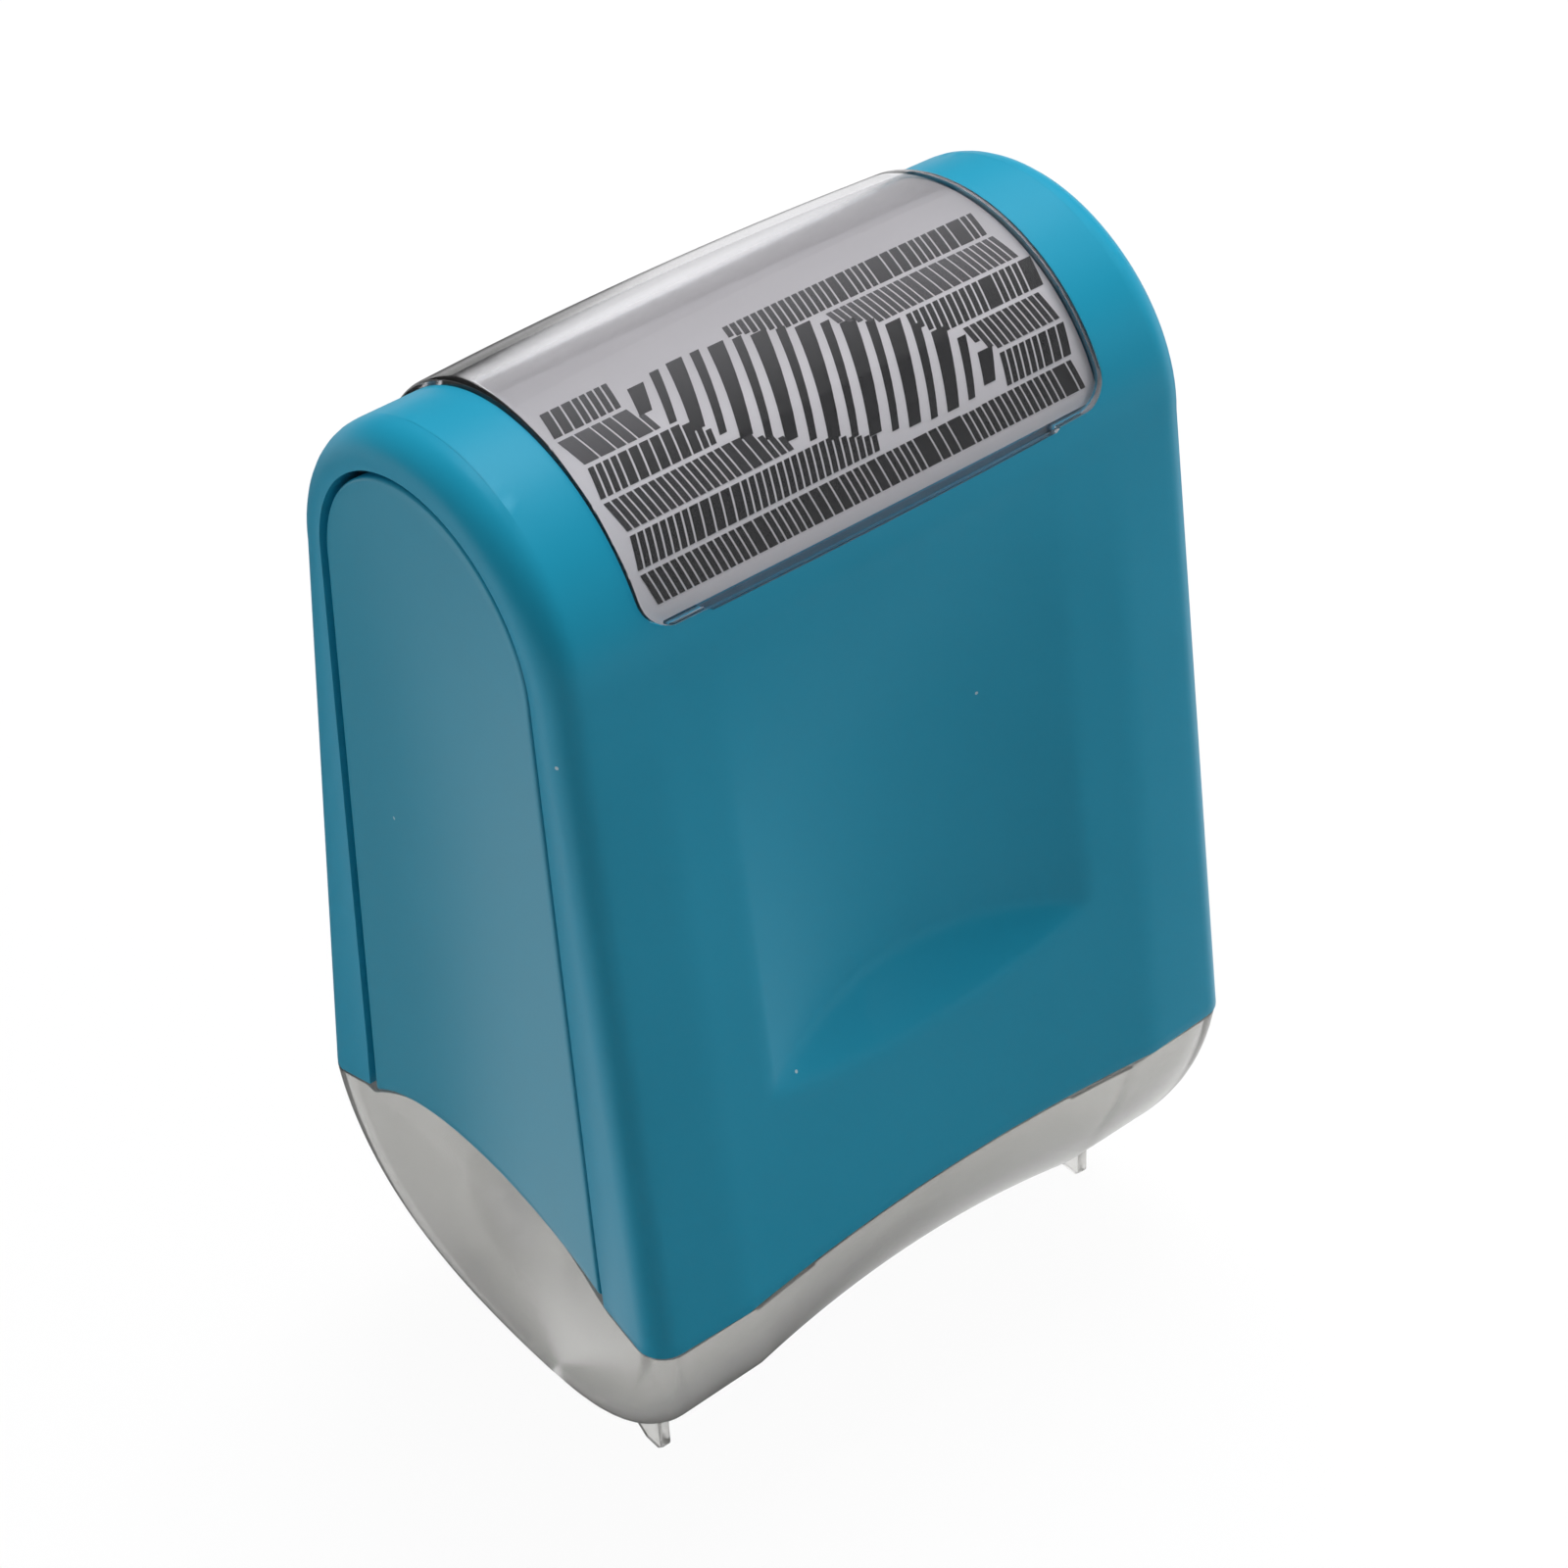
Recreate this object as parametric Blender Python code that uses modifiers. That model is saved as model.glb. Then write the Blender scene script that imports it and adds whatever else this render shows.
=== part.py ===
"""Privacy roller stamp: a saddle-shaped case with a clear window on top, an inner unit that
carries the print drum and the ink roller, and a clear cap with four fins below.

Metres, +Z up, X along the rollers, -Y the front. Z is 0 where the cap's fins stand.
"""

from math import asin, cos, pi, radians, sin, sqrt

import bmesh
import bpy
from mathutils import Matrix

MM = 0.001

# Case
SEAM_Z = 22.0 * MM  # lower edge of the case's front wall
SEAM_BACK_RISE = 0.7 * MM
SEAM_BACK_Z = SEAM_Z + SEAM_BACK_RISE  # lower edge of its back wall
CASE_TOP_Z = 89.4 * MM
ARCH_RISE = 14.4 * MM
ARCH_Z = CASE_TOP_Z - ARCH_RISE  # where the straight walls meet the arch
CASE_WIDTH_LOW = 57.0 * MM
CASE_END_LEAN = 1.1 * MM  # how far each end leans in, up to the top
CASE_WIDTH_HIGH = CASE_WIDTH_LOW - 2 * CASE_END_LEAN
CASE_DEPTH_LOW = 42.2 * MM
CASE_FACE_LEAN = 6.05 * MM  # how far the front and the back lean in, up to the arch
CASE_DEPTH_HIGH = CASE_DEPTH_LOW - 2 * CASE_FACE_LEAN
CASE_WALL = 2.2 * MM
CORNER_ROUND = 2.2 * MM  # between the walls and the ends
CORNER_ROUND_TOP = 3.1 * MM  # the same at the top of the arch
TOP_CROWN = 0.25 * MM  # how much lower the arch is at its ends than in the middle
RIM_LOW = 6.3 * MM  # end rim from the outline to the groove, at the seam
RIM_HIGH = 3.1 * MM  # the same round the arch
RIM_LIFT = 1.3 * MM  # how much the seam rises from the corner to the groove
GROOVE = 0.4 * MM

# Front and back faces
RIDGE_MARGIN = 8.2 * MM  # from the case's end to the ridge
RIDGE_X = CASE_WIDTH_LOW / 2 - RIDGE_MARGIN
RIDGE_PROUD = 0.2 * MM
HOLLOW_DEPTH = 1.36 * MM
HOLLOW_FADE_DROP = 15.0 * MM  # the hollow fades out from this far below the arch
HOLLOW_FADE_RISE = 3.0 * MM
HOLLOW_FADE_LOW_Z = ARCH_Z - HOLLOW_FADE_DROP
HOLLOW_FADE_HIGH_Z = ARCH_Z + HOLLOW_FADE_RISE
DISH_MARGIN = 5.1 * MM
DISH_X = RIDGE_X - DISH_MARGIN
DISH_DEPTH = 2.0 * MM
DISH_TOP_RISE = 2.0 * MM
DISH_TOP_Z = ARCH_Z + DISH_TOP_RISE
DISH_LOW_RISE = 13.2 * MM
DISH_LOW_Z = SEAM_Z + DISH_LOW_RISE
DISH_DEEP_RISE = 6.3 * MM
DISH_DEEP_Z = DISH_LOW_Z + DISH_DEEP_RISE
DISH_DEEP_DROP = 2.3 * MM
DISH_LOW_LIFT = 3.0 * MM
DISH_BAND_UNDER = 0.6 * MM  # the case's rows of faces are close together from here
DISH_BAND_OVER = 2.1 * MM
DISH_BAND_LOW_Z = DISH_LOW_Z - DISH_BAND_UNDER
DISH_BAND_HIGH_Z = DISH_DEEP_Z + DISH_BAND_OVER
COLUMN_SHARES = (0.0, 0.3, 0.6, 0.85, 1.0)  # of the dish's half width

# Window and card
WINDOW_MARGIN = 7.4 * MM  # from the case's end to the window
WINDOW_X = CASE_WIDTH_HIGH / 2 - WINDOW_MARGIN
WINDOW_DROP = 10.5 * MM
WINDOW_LOW_Z = CASE_TOP_Z - WINDOW_DROP
WINDOW_UNDER = 0.75 * MM  # its inner face, below the arch
WINDOW_PROUD = 0.85 * MM  # its outer face, above the arch, in the middle
WINDOW_PROUD_END = 0.45 * MM
WINDOW_EDGE = 0.5 * MM
WINDOW_EDGE_DROP = 0.35 * MM
WINDOW_CORNER = 2.4 * MM
WINDOW_FIT = 0.25 * MM
LIP_MARGIN = 5.0 * MM
LIP_X = WINDOW_X - LIP_MARGIN  # the middle of the window's lower edges stands lower, up to here
LIP_DROP = 0.25 * MM
LIP_STEP = 0.3 * MM
POCKET_DEPTH = 1.6 * MM
CARD_MARGIN = 0.8 * MM
CARD_X = WINDOW_X - CARD_MARGIN
CARD_LOW_RISE = 1.3 * MM
CARD_LOW_Z = WINDOW_LOW_Z + CARD_LOW_RISE
CARD_THICK = 0.3 * MM
CARD_SUNK = 1.05 * MM
CARD_CORNER = 1.0 * MM
WINDOW_EDGE_SHARES = (0.0, 0.12, 0.4, 1.0)  # of the edge's width

# Cap
CAP_WALL = 1.5 * MM
CAP_GAP = 0.3 * MM
CAP_RADIUS = CASE_DEPTH_LOW / 2
CAP_TOP_Z = SEAM_Z - CAP_GAP
CAP_TOP_BACK_Z = SEAM_BACK_Z - CAP_GAP
CAP_CENTRE_RISE = 0.9 * MM
CAP_CENTRE_Z = SEAM_Z + CAP_CENTRE_RISE
BELLY_Z = 0.95 * MM  # the belly's lowest point
CAP_DEPTH = CAP_CENTRE_Z - BELLY_Z
CAP_END_DRAFT = 0.6 * MM
CAP_END_DRAW = 5.2 * MM
CAP_END_POWER = 2.5
CAP_ROUND_LOW = 4.6 * MM
CAP_HOLLOW_LOW = 1.5 * MM
CAP_HOLLOW_NARROWING = 5.3 * MM
TAB_MARGIN = 4.3 * MM
TAB_X = RIDGE_X - TAB_MARGIN
TAB_WIDTH = 6.0 * MM
TAB_THICK = 1.0 * MM
TAB_RISE = 3.0 * MM
TAB_ROOT = 2.5 * MM
FIN_MARGIN = 6.4 * MM  # from the case's end to the fin's middle
FIN_X = CASE_WIDTH_LOW / 2 - FIN_MARGIN
FIN_THICK = 1.0 * MM
FIN_FRONT_MARGIN = 9.2 * MM  # from the case's front to the fin's front
FIN_FRONT_Y = CAP_RADIUS - FIN_FRONT_MARGIN
FIN_FLAT = 2.0 * MM
FIN_NOSE = 0.5 * MM
FIN_LENGTH = 5.4 * MM
FIN_BACK_Y = FIN_FRONT_Y - FIN_LENGTH
FIN_ROOT = 0.4 * MM  # how far a fin goes into the cap's wall

# Clearances and cutting
FIT = 0.3 * MM
RUN = 0.08 * MM
NIP = 0.15 * MM  # between the ink sleeve and the die
PRESS_GAP = 0.05 * MM
OVERRUN = 1.0 * MM
WELD = 0.00001
CUTTER_REACH = 4.0 * MM

# Print drum
PLATE_MARGIN = 4.8 * MM  # from the case's end, at the top, to the side plate's inner face
PLATE_IN_X = CASE_WIDTH_HIGH / 2 - PLATE_MARGIN
PLATE_THICK = 2.0 * MM
PLATE_OUT_X = PLATE_IN_X + PLATE_THICK
DRUM_CORE_RADIUS = 10.7 * MM
DRUM_RIM = 1.7 * MM
DRUM_END_GAP = 1.6 * MM  # from the drum's end to the side plate
DRUM_HALF = PLATE_IN_X - DRUM_END_GAP
HUB_RADIUS = 4.2 * MM
HUB_GAP = 0.4 * MM
HUB_HALF = PLATE_IN_X - HUB_GAP
WEB_HALF = 1.0 * MM
DIE_THICK = 1.9 * MM
DIE_RADIUS = DRUM_CORE_RADIUS + DIE_THICK
GRIP_PROUD = 0.3 * MM
GRIP_RADIUS = DIE_RADIUS + GRIP_PROUD
GRIP_MARGIN = 0.2 * MM
GRIP_WIDTH = 1.4 * MM
GRIP_OUT_X = DRUM_HALF - GRIP_MARGIN
GRIP_IN_X = GRIP_OUT_X - GRIP_WIDTH
DIE_GAP = 0.4 * MM
DIE_HALF = GRIP_IN_X - DIE_GAP
DRUM_CLEAR = 4.15 * MM  # from the cap's floor to the grip rings
DRUM_Z = BELLY_Z + CAP_WALL + DRUM_CLEAR + GRIP_RADIUS
PIN_RADIUS = 1.5 * MM
PIN_END = 1.3 * MM  # how far a pin stands out of its side plate
PIN_HALF = PLATE_OUT_X + PIN_END
PIN_CHAMFER = 0.3 * MM
BUSH_RADIUS = 2.7 * MM
BUSH_LENGTH = 6.0 * MM
CLIP_RADIUS = 3.0 * MM
CLIP_THICK = 0.5 * MM

# Ink roller
INK_RADIUS = 8.5 * MM
INK_Z = DRUM_Z + DIE_RADIUS + INK_RADIUS + NIP
INK_MARGIN = 0.6 * MM
INK_HALF = DIE_HALF - INK_MARGIN
INK_CORE_RADIUS = 4.6 * MM
INK_FLANGE_RADIUS = 7.2 * MM
INK_FLANGE_THICK = 1.0 * MM
INK_HUB_RADIUS = 3.0 * MM

# Inner unit
BRIDGE_OVER_INK = 8.25 * MM
BRIDGE_Z = INK_Z + INK_RADIUS + BRIDGE_OVER_INK
BRIDGE_THICK = 2.0 * MM
BRIDGE_BEVEL = 0.3 * MM
TONGUE_WIDTH = 8.0 * MM
TAB_HANDLE_RISE = 8.0 * MM
TAB_HANDLE_WIDTH = 16.0 * MM
PLATE_OVER_BRIDGE = 4.5 * MM
PLATE_TOP_Z = BRIDGE_Z + PLATE_OVER_BRIDGE
SHOULDER_RISE = 13.5 * MM
PLATE_SHOULDER_Z = DRUM_Z + SHOULDER_RISE
PLATE_DEPTH_MARGIN = 7.1 * MM  # from the case's front to the side plate's edge
PLATE_HALF_LOW = CASE_DEPTH_LOW / 2 - PLATE_DEPTH_MARGIN
PLATE_TAPER = 2.5 * MM
PLATE_HALF_TOP = PLATE_HALF_LOW - PLATE_TAPER
PLATE_CORNER = 2.5 * MM
HUB_HOUSING = 6.5 * MM
BRIDGE_MARGIN = 2.5 * MM
BRIDGE_HALF = PLATE_HALF_TOP - BRIDGE_MARGIN
TIE_DROP = 7.5 * MM
TIE_Z = BRIDGE_Z - TIE_DROP
TIE_RADIUS = 1.8 * MM
TIE_END_RADIUS = 1.2 * MM

# End panels
PANEL_THICK = 2.0 * MM
PANEL_LOW_RISE = 1.6 * MM
PANEL_LOW_Z = SEAM_Z + PANEL_LOW_RISE
PANEL_ARCH_RISE = 5.0 * MM
PANEL_ARCH_Z = PANEL_LOW_Z + PANEL_ARCH_RISE
PEG_RADIUS = 1.5 * MM
PEG_MARGIN = 4.0 * MM  # from the side plate's edges to the pegs
PEG_TOP_MARGIN = 6.0 * MM
PEG_Y = PLATE_HALF_TOP - PEG_MARGIN
PEG_LOW_Z = PLATE_SHOULDER_Z + PEG_MARGIN
PEG_HIGH_Z = PLATE_TOP_Z - PEG_TOP_MARGIN
PEG_DEPTH = 1.4 * MM  # how far a peg goes into the side plate

# Counts of faces
BELLY_SHARES = (0.25, 0.5, 0.75, 1.0)  # of the belly's half width, up to the ridge
END_SHARES = (0.92, 0.84, 0.78, 0.75, 0.62, 0.48, 0.34, 0.18, 0.0)  # of the end wall's half depth
ARCH_STEPS = 16
SHEET_SPANS = 15  # odd, so that no row of the window's sheets stands on the arch's top line
LOW_STEPS = 3
DISH_STEPS = 8
HIGH_STEPS = 8
ROUND_STEPS = 3
TURN_STEPS = 40
PIN_STEPS = 20
CAP_STEPS = 24
OUTLINE_STEPS = 14
CORNER_STEPS = 4
SETTLE_STEPS = 6

TEAL = (0.030, 0.215, 0.330, 1.0)
CLEAR = (0.80, 0.82, 0.84, 0.4)
CARD_WHITE = (0.78, 0.78, 0.76, 1.0)
SHELL_WHITE = (0.74, 0.74, 0.72, 1.0)
RUBBER_GREY = (0.33, 0.34, 0.36, 1.0)
FELT_BLACK = (0.03, 0.03, 0.04, 1.0)
STEEL = (0.62, 0.62, 0.64, 1.0)


def clear_scene():
    for old in list(bpy.data.objects):
        bpy.data.objects.remove(old, do_unlink=True)


def new_collection(name):
    made = bpy.data.collections.new(name)
    bpy.context.scene.collection.children.link(made)
    return made


def material(name, colour, roughness, metallic=0.0, transmission=0.0):
    made = bpy.data.materials.new(name)
    made.use_nodes = True
    shader = made.node_tree.nodes["Principled BSDF"]
    shader.inputs["Base Color"].default_value = colour
    shader.inputs["Roughness"].default_value = roughness
    shader.inputs["Metallic"].default_value = metallic
    shader.inputs["Transmission Weight"].default_value = transmission
    shader.inputs["Alpha"].default_value = colour[3]
    return made


def add_object(name, mesh, finish, place=None):
    """One named sub-part with its own copy of the finish."""
    made = bpy.data.objects.new(name, mesh)
    own = finish.copy()
    own.name = name
    mesh.materials.clear()
    mesh.materials.append(own)
    (place or PARTS).objects.link(made)
    mesh.shade_smooth()
    mesh.set_sharp_from_angle(angle=radians(35))
    return made


def add_cutter(name, mesh):
    made = bpy.data.objects.new(name, mesh)
    CUTTERS.objects.link(made)
    made.hide_render = True
    made.display_type = "WIRE"
    return made


def boolean(target, tool, operation):
    step = target.modifiers.new(f"{operation} {tool.name}".title(), "BOOLEAN")
    step.operation = operation
    step.object = tool
    return step


def grid_mesh(name, rows, close_ring=False):
    """Quads between rows of points; points that coincide are merged."""
    bm = bmesh.new()
    grid = [[bm.verts.new(point) for point in row] for row in rows]
    for low, high in zip(grid, grid[1:]):
        for i in range(len(low) - 1 + close_ring):
            j = (i + 1) % len(low)
            bm.faces.new((low[i], low[j], high[j], high[i]))
    bmesh.ops.remove_doubles(bm, verts=bm.verts, dist=WELD)
    bmesh.ops.dissolve_degenerate(bm, dist=WELD, edges=bm.edges)
    mesh = bpy.data.meshes.new(name)
    bm.to_mesh(mesh)
    bm.free()
    return mesh


def shell_mesh(name, outer, inner):
    """A wall between two sheets of points, row by row, closed round its edges."""
    bm = bmesh.new()
    rings = []
    for row, back in zip(outer, inner):
        rings.append([bm.verts.new(point) for point in row + list(reversed(back))])
    count = len(rings[0])
    for low, high in zip(rings, rings[1:]):
        for i in range(count):
            j = (i + 1) % count
            bm.faces.new((low[i], low[j], high[j], high[i]))
    for ring in (rings[0], rings[-1]):
        for i in range(count // 2 - 1):
            bm.faces.new((ring[i], ring[i + 1], ring[-2 - i], ring[-1 - i]))
    bmesh.ops.remove_doubles(bm, verts=bm.verts, dist=WELD)
    bmesh.ops.recalc_face_normals(bm, faces=bm.faces)
    mesh = bpy.data.meshes.new(name)
    bm.to_mesh(mesh)
    bm.free()
    return mesh


def cylinder_mesh(name, radius, x0, x1, y, z, steps=PIN_STEPS):
    """A cylinder along X between x0 and x1."""
    bm = bmesh.new()
    turn = Matrix.Translation(((x0 + x1) / 2, y, z)) @ Matrix.Rotation(pi / 2, 4, "Y")
    bmesh.ops.create_cone(bm, cap_ends=True, segments=steps, radius1=radius, radius2=radius,
                          depth=abs(x1 - x0), matrix=turn)
    mesh = bpy.data.meshes.new(name)
    bm.to_mesh(mesh)
    bm.free()
    return mesh


def box_mesh(name, low, high):
    bm = bmesh.new()
    size = [b - a for a, b in zip(low, high)]
    middle = [(a + b) / 2 for a, b in zip(low, high)]
    bmesh.ops.create_cube(bm, size=1.0, matrix=Matrix.Translation(middle) @ Matrix.Diagonal((*size, 1)))
    mesh = bpy.data.meshes.new(name)
    bm.to_mesh(mesh)
    bm.free()
    return mesh


def turned(name, profile, finish, z, steps=TURN_STEPS, parent=None):
    """A closed profile of (along X, radius) points, outer side from +X to -X, turned about X."""
    mesh = bpy.data.meshes.new(name)
    points = [(radius, 0, along) for along, radius in profile]
    edges = [(i, (i + 1) % len(points)) for i in range(len(points))]
    mesh.from_pydata(points, edges, [])
    made = add_object(name, mesh, finish)
    made.rotation_euler = (0, pi / 2, 0)
    if parent is None:
        made.location = (0, 0, z)
    else:
        made.parent = parent
    spin = made.modifiers.new("Turn", "SCREW")
    spin.steps = steps
    spin.render_steps = steps
    spin.use_merge_vertices = True
    spin.merge_threshold = WELD
    return made


def curve_plate(name, outline, x_low, x_high):
    """A flat outline of (y, z) points, as a mesh between x_low and x_high."""
    curve = bpy.data.curves.new(name, "CURVE")
    curve.dimensions = "2D"
    curve.fill_mode = "BOTH"
    curve.extrude = (x_high - x_low) / 2
    line = curve.splines.new("POLY")
    line.points.add(len(outline) - 1)
    for point, (y, z) in zip(line.points, outline):
        point.co = (y, z, 0, 1)
    line.use_cyclic_u = True
    flat = bpy.data.objects.new(name, curve)
    bpy.context.scene.collection.objects.link(flat)
    flat.matrix_world = (Matrix.Translation(((x_low + x_high) / 2, 0, 0))
                         @ Matrix(((0, 0, 1, 0), (1, 0, 0, 0), (0, 1, 0, 0), (0, 0, 0, 1))))
    bpy.context.view_layer.update()
    graph = bpy.context.evaluated_depsgraph_get()
    mesh = bpy.data.meshes.new_from_object(flat.evaluated_get(graph))
    mesh.transform(flat.matrix_world)
    mesh.name = name
    bpy.data.objects.remove(flat, do_unlink=True)
    bm = bmesh.new()
    bm.from_mesh(mesh)
    bmesh.ops.remove_doubles(bm, verts=bm.verts, dist=WELD)
    bmesh.ops.recalc_face_normals(bm, faces=bm.faces)
    bm.to_mesh(mesh)
    bm.free()
    return mesh


def bevel(target, width, segments=2, angle=40):
    step = target.modifiers.new("Edge", "BEVEL")
    step.width = width
    step.segments = segments
    step.limit_method = "ANGLE"
    step.angle_limit = radians(angle)
    return step


def smooth_step(value, low, high):
    share = min(max((value - low) / (high - low), 0), 1)
    return share * share * (3 - 2 * share)


# Case outline

def half_depth(z):
    share = (z - SEAM_Z) / (ARCH_Z - SEAM_Z)
    return (CASE_DEPTH_LOW + (CASE_DEPTH_HIGH - CASE_DEPTH_LOW) * share) / 2


def half_width(z):
    share = (z - SEAM_Z) / (CASE_TOP_Z - SEAM_Z)
    return (CASE_WIDTH_LOW + (CASE_WIDTH_HIGH - CASE_WIDTH_LOW) * share) / 2


def rim_width(z):
    share = min((z - SEAM_Z) / (ARCH_Z - SEAM_Z), 1)
    return RIM_LOW + (RIM_HIGH - RIM_LOW) * share


def wall_heights(seam):
    """Heights of the rows of faces on a wall, from its seam up to the arch."""
    heights = []
    bands = ((seam, DISH_BAND_LOW_Z, LOW_STEPS), (DISH_BAND_LOW_Z, DISH_BAND_HIGH_Z, DISH_STEPS),
             (DISH_BAND_HIGH_Z, ARCH_Z, HIGH_STEPS))
    for low, high, rows in bands:
        heights += [low + (high - low) * i / rows for i in range(rows)]
    return heights


def outline_places():
    """Places along the case's outline, front seam to back seam: ('wall', side, z) or ('arch', angle)."""
    front = [("wall", -1, z) for z in wall_heights(SEAM_Z)]
    arch = [("arch", pi - pi * i / ARCH_STEPS) for i in range(ARCH_STEPS + 1)]
    back = [("wall", 1, z) for z in reversed(wall_heights(SEAM_BACK_Z))]
    return front + arch + back


def outline_point(place, inset):
    """(y, z) of a place on the outline, moved inwards by inset."""
    if place[0] == "wall":
        side, z = place[1:]
        return side * (half_depth(z) - inset), z
    angle = place[1]
    return ((CASE_DEPTH_HIGH / 2 - inset) * cos(angle),
            ARCH_Z + (CASE_TOP_Z - ARCH_Z - inset) * sin(angle))


def face_relief(x, z):
    """How far the front or back face is sunk at x, z: a hollow between two ridges, and the thumb dish."""
    x = abs(x)
    fade = 1 - smooth_step(z, HOLLOW_FADE_LOW_Z, HOLLOW_FADE_HIGH_Z)
    edge = case_flat_half(z)
    if x < RIDGE_X:
        sunk = HOLLOW_DEPTH * (1 - (x / RIDGE_X) ** 2) - RIDGE_PROUD
    else:
        sunk = -RIDGE_PROUD * max(edge - x, 0) / (edge - RIDGE_X)
    return fade * sunk + dish_depth(x, z)


def corner_round(z):
    return CORNER_ROUND + (CORNER_ROUND_TOP - CORNER_ROUND) * smooth_step(z, ARCH_Z, CASE_TOP_Z)


def case_flat_half(z):
    return half_width(z) - corner_round(z)


def crown(place, x):
    """How much the arch is lowered at x."""
    if place[0] == "wall":
        return 0
    return TOP_CROWN * sin(place[1]) * (2 * x / CASE_WIDTH_HIGH) ** 2


def rim_lift(z, seam):
    return RIM_LIFT * (1 - smooth_step(z, seam, seam + RIM_LOW))


def dish_depth(x, z):
    across = min(x / DISH_X, 1)
    low = DISH_LOW_Z + DISH_LOW_LIFT * across ** 2
    deep = DISH_DEEP_Z - DISH_DEEP_DROP * across ** 2
    if across >= 1 or z <= low or z >= DISH_TOP_Z:
        return 0
    if z < deep:
        down = smooth_step(z, low, deep)
    else:
        down = (DISH_TOP_Z - z) / (DISH_TOP_Z - deep)
    return DISH_DEPTH * down * (1 - across ** 2)


# Case

def case_columns():
    """Places across the case, left rim to right rim: ('rim', side), ('round', side, angle) or ('face', x)."""
    inner = [DISH_X * share for share in COLUMN_SHARES[1:]]
    right = [("face", x) for x in inner + [(DISH_X + RIDGE_X) / 2, RIDGE_X]]
    right += [("round", 1, pi / 2 * i / ROUND_STEPS) for i in range(ROUND_STEPS + 1)]
    right.append(("rim", 1))
    left = [(kind, -rest[0], *rest[1:]) for kind, *rest in reversed(right)]
    return left + [("face", 0.0)] + right


def case_point(place, column, wall):
    """A point of the case, on its outside (wall 0) or its inside."""
    kind = column[0]
    z = outline_point(place, 0)[1]
    if kind == "face":
        x = column[1]
        return x, *outline_point(place, face_relief(x, z) + wall + crown(place, x))
    side = column[1]
    width = half_width(z)
    if kind == "round":
        corner = corner_round(z)
        radius = max(corner - wall, PRESS_GAP)
        x = width - wall - radius * (1 - sin(column[2]))
        inset = wall + radius * (1 - cos(column[2]))
        return side * x, *outline_point(place, inset + crown(place, x))
    y, z = outline_point(place, rim_width(z))
    if place[0] == "wall":
        z += rim_lift(z, SEAM_Z if place[1] < 0 else SEAM_BACK_Z)
    return side * (width - wall), y, z


def make_case():
    columns = case_columns()
    sheets = []
    for wall in (0, CASE_WALL):
        sheets.append([[case_point(place, column, wall) for column in columns] for place in outline_places()])
    case = add_object("outer_case", shell_mesh("outer_case", *sheets), TEAL_PLASTIC)
    pocket = arch_sheet("window_pocket", window_columns, WINDOW_X, WINDOW_LOW_Z, WINDOW_CORNER, LIP_DROP,
                        WINDOW_FIT, lambda x, edge: CUTTER_REACH, -POCKET_DEPTH)
    boolean(case, add_cutter("window_pocket", pocket), "DIFFERENCE")
    return case


# Window and card

def arch_angle(z):
    """Angle on the arch, from the back's springing, of a point at height z."""
    return asin((z - ARCH_Z) / (CASE_TOP_Z - ARCH_Z))


def arch_point(angle, offset, x):
    return (x, (CASE_DEPTH_HIGH / 2 + offset) * cos(angle),
            ARCH_Z + (CASE_TOP_Z - ARCH_Z + offset) * sin(angle))


def card_columns(half):
    return [-half, half]


def window_columns(half):
    """Places across the window: close together at its edge and at the lip's ends."""
    right = [half - WINDOW_EDGE * share for share in WINDOW_EDGE_SHARES]
    right += [LIP_X + LIP_STEP, LIP_X, LIP_X * 2 / 3, LIP_X / 3]
    return [-x for x in right] + [0.0] + right[::-1]


def arch_sheet(name, columns, half, low_z, corner, lip, grow, top, low_offset):
    """A closed sheet over the arch, from low_z at the back to low_z at the front, rounded in plan and grown
    all round; columns gives its places across, top its outer offset at x, so far from the nearest edge."""
    radius = CASE_TOP_Z - ARCH_Z
    start = arch_angle(low_z) - grow / radius
    corner, half = corner + grow, half + grow
    ends = [corner * (1 - cos(pi / 2 * i / CORNER_STEPS)) for i in range(CORNER_STEPS + 1)]
    span = (pi - 2 * start) * radius
    middle = [corner + (span - 2 * corner) * i / SHEET_SPANS for i in range(1, SHEET_SPANS)]
    outer, inner = [], []
    for place in ends + middle + [span - along for along in reversed(ends)]:
        along = min(place, span - place)
        pull = max(corner - along, 0)
        reach = half - corner + sqrt(corner ** 2 - pull ** 2)
        upper, under = [], []
        for x in columns(reach):
            drop = lip / radius if along == 0 and abs(x) <= LIP_X + grow else 0
            turn = start + along / radius - drop
            if place > along:
                turn = pi - turn
            upper.append(arch_point(turn, top(x, min(reach - abs(x), along)), x))
            under.append(arch_point(turn, low_offset, x))
        outer.append(upper)
        inner.append(under)
    return shell_mesh(name, outer, inner)


def window_top(x, edge):
    """Height of the window's outer face above the arch: crowned along X and rounded at its edge."""
    proud = WINDOW_PROUD - (WINDOW_PROUD - WINDOW_PROUD_END) * (x / WINDOW_X) ** 2
    turn = 1 - min(edge / WINDOW_EDGE, 1)
    return proud - WINDOW_EDGE_DROP * (1 - sqrt(1 - turn ** 2))


def make_window():
    mesh = arch_sheet("top_window", window_columns, WINDOW_X, WINDOW_LOW_Z, WINDOW_CORNER, LIP_DROP, 0,
                      window_top, -WINDOW_UNDER)
    return add_object("top_window", mesh, CLEAR_PLASTIC)


def make_card():
    mesh = arch_sheet("sample_card", card_columns, CARD_X, CARD_LOW_Z, CARD_CORNER, 0, 0,
                      lambda x, edge: -CARD_SUNK, -CARD_SUNK - CARD_THICK)
    return add_object("sample_card", mesh, CARD)


# End panels

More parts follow.
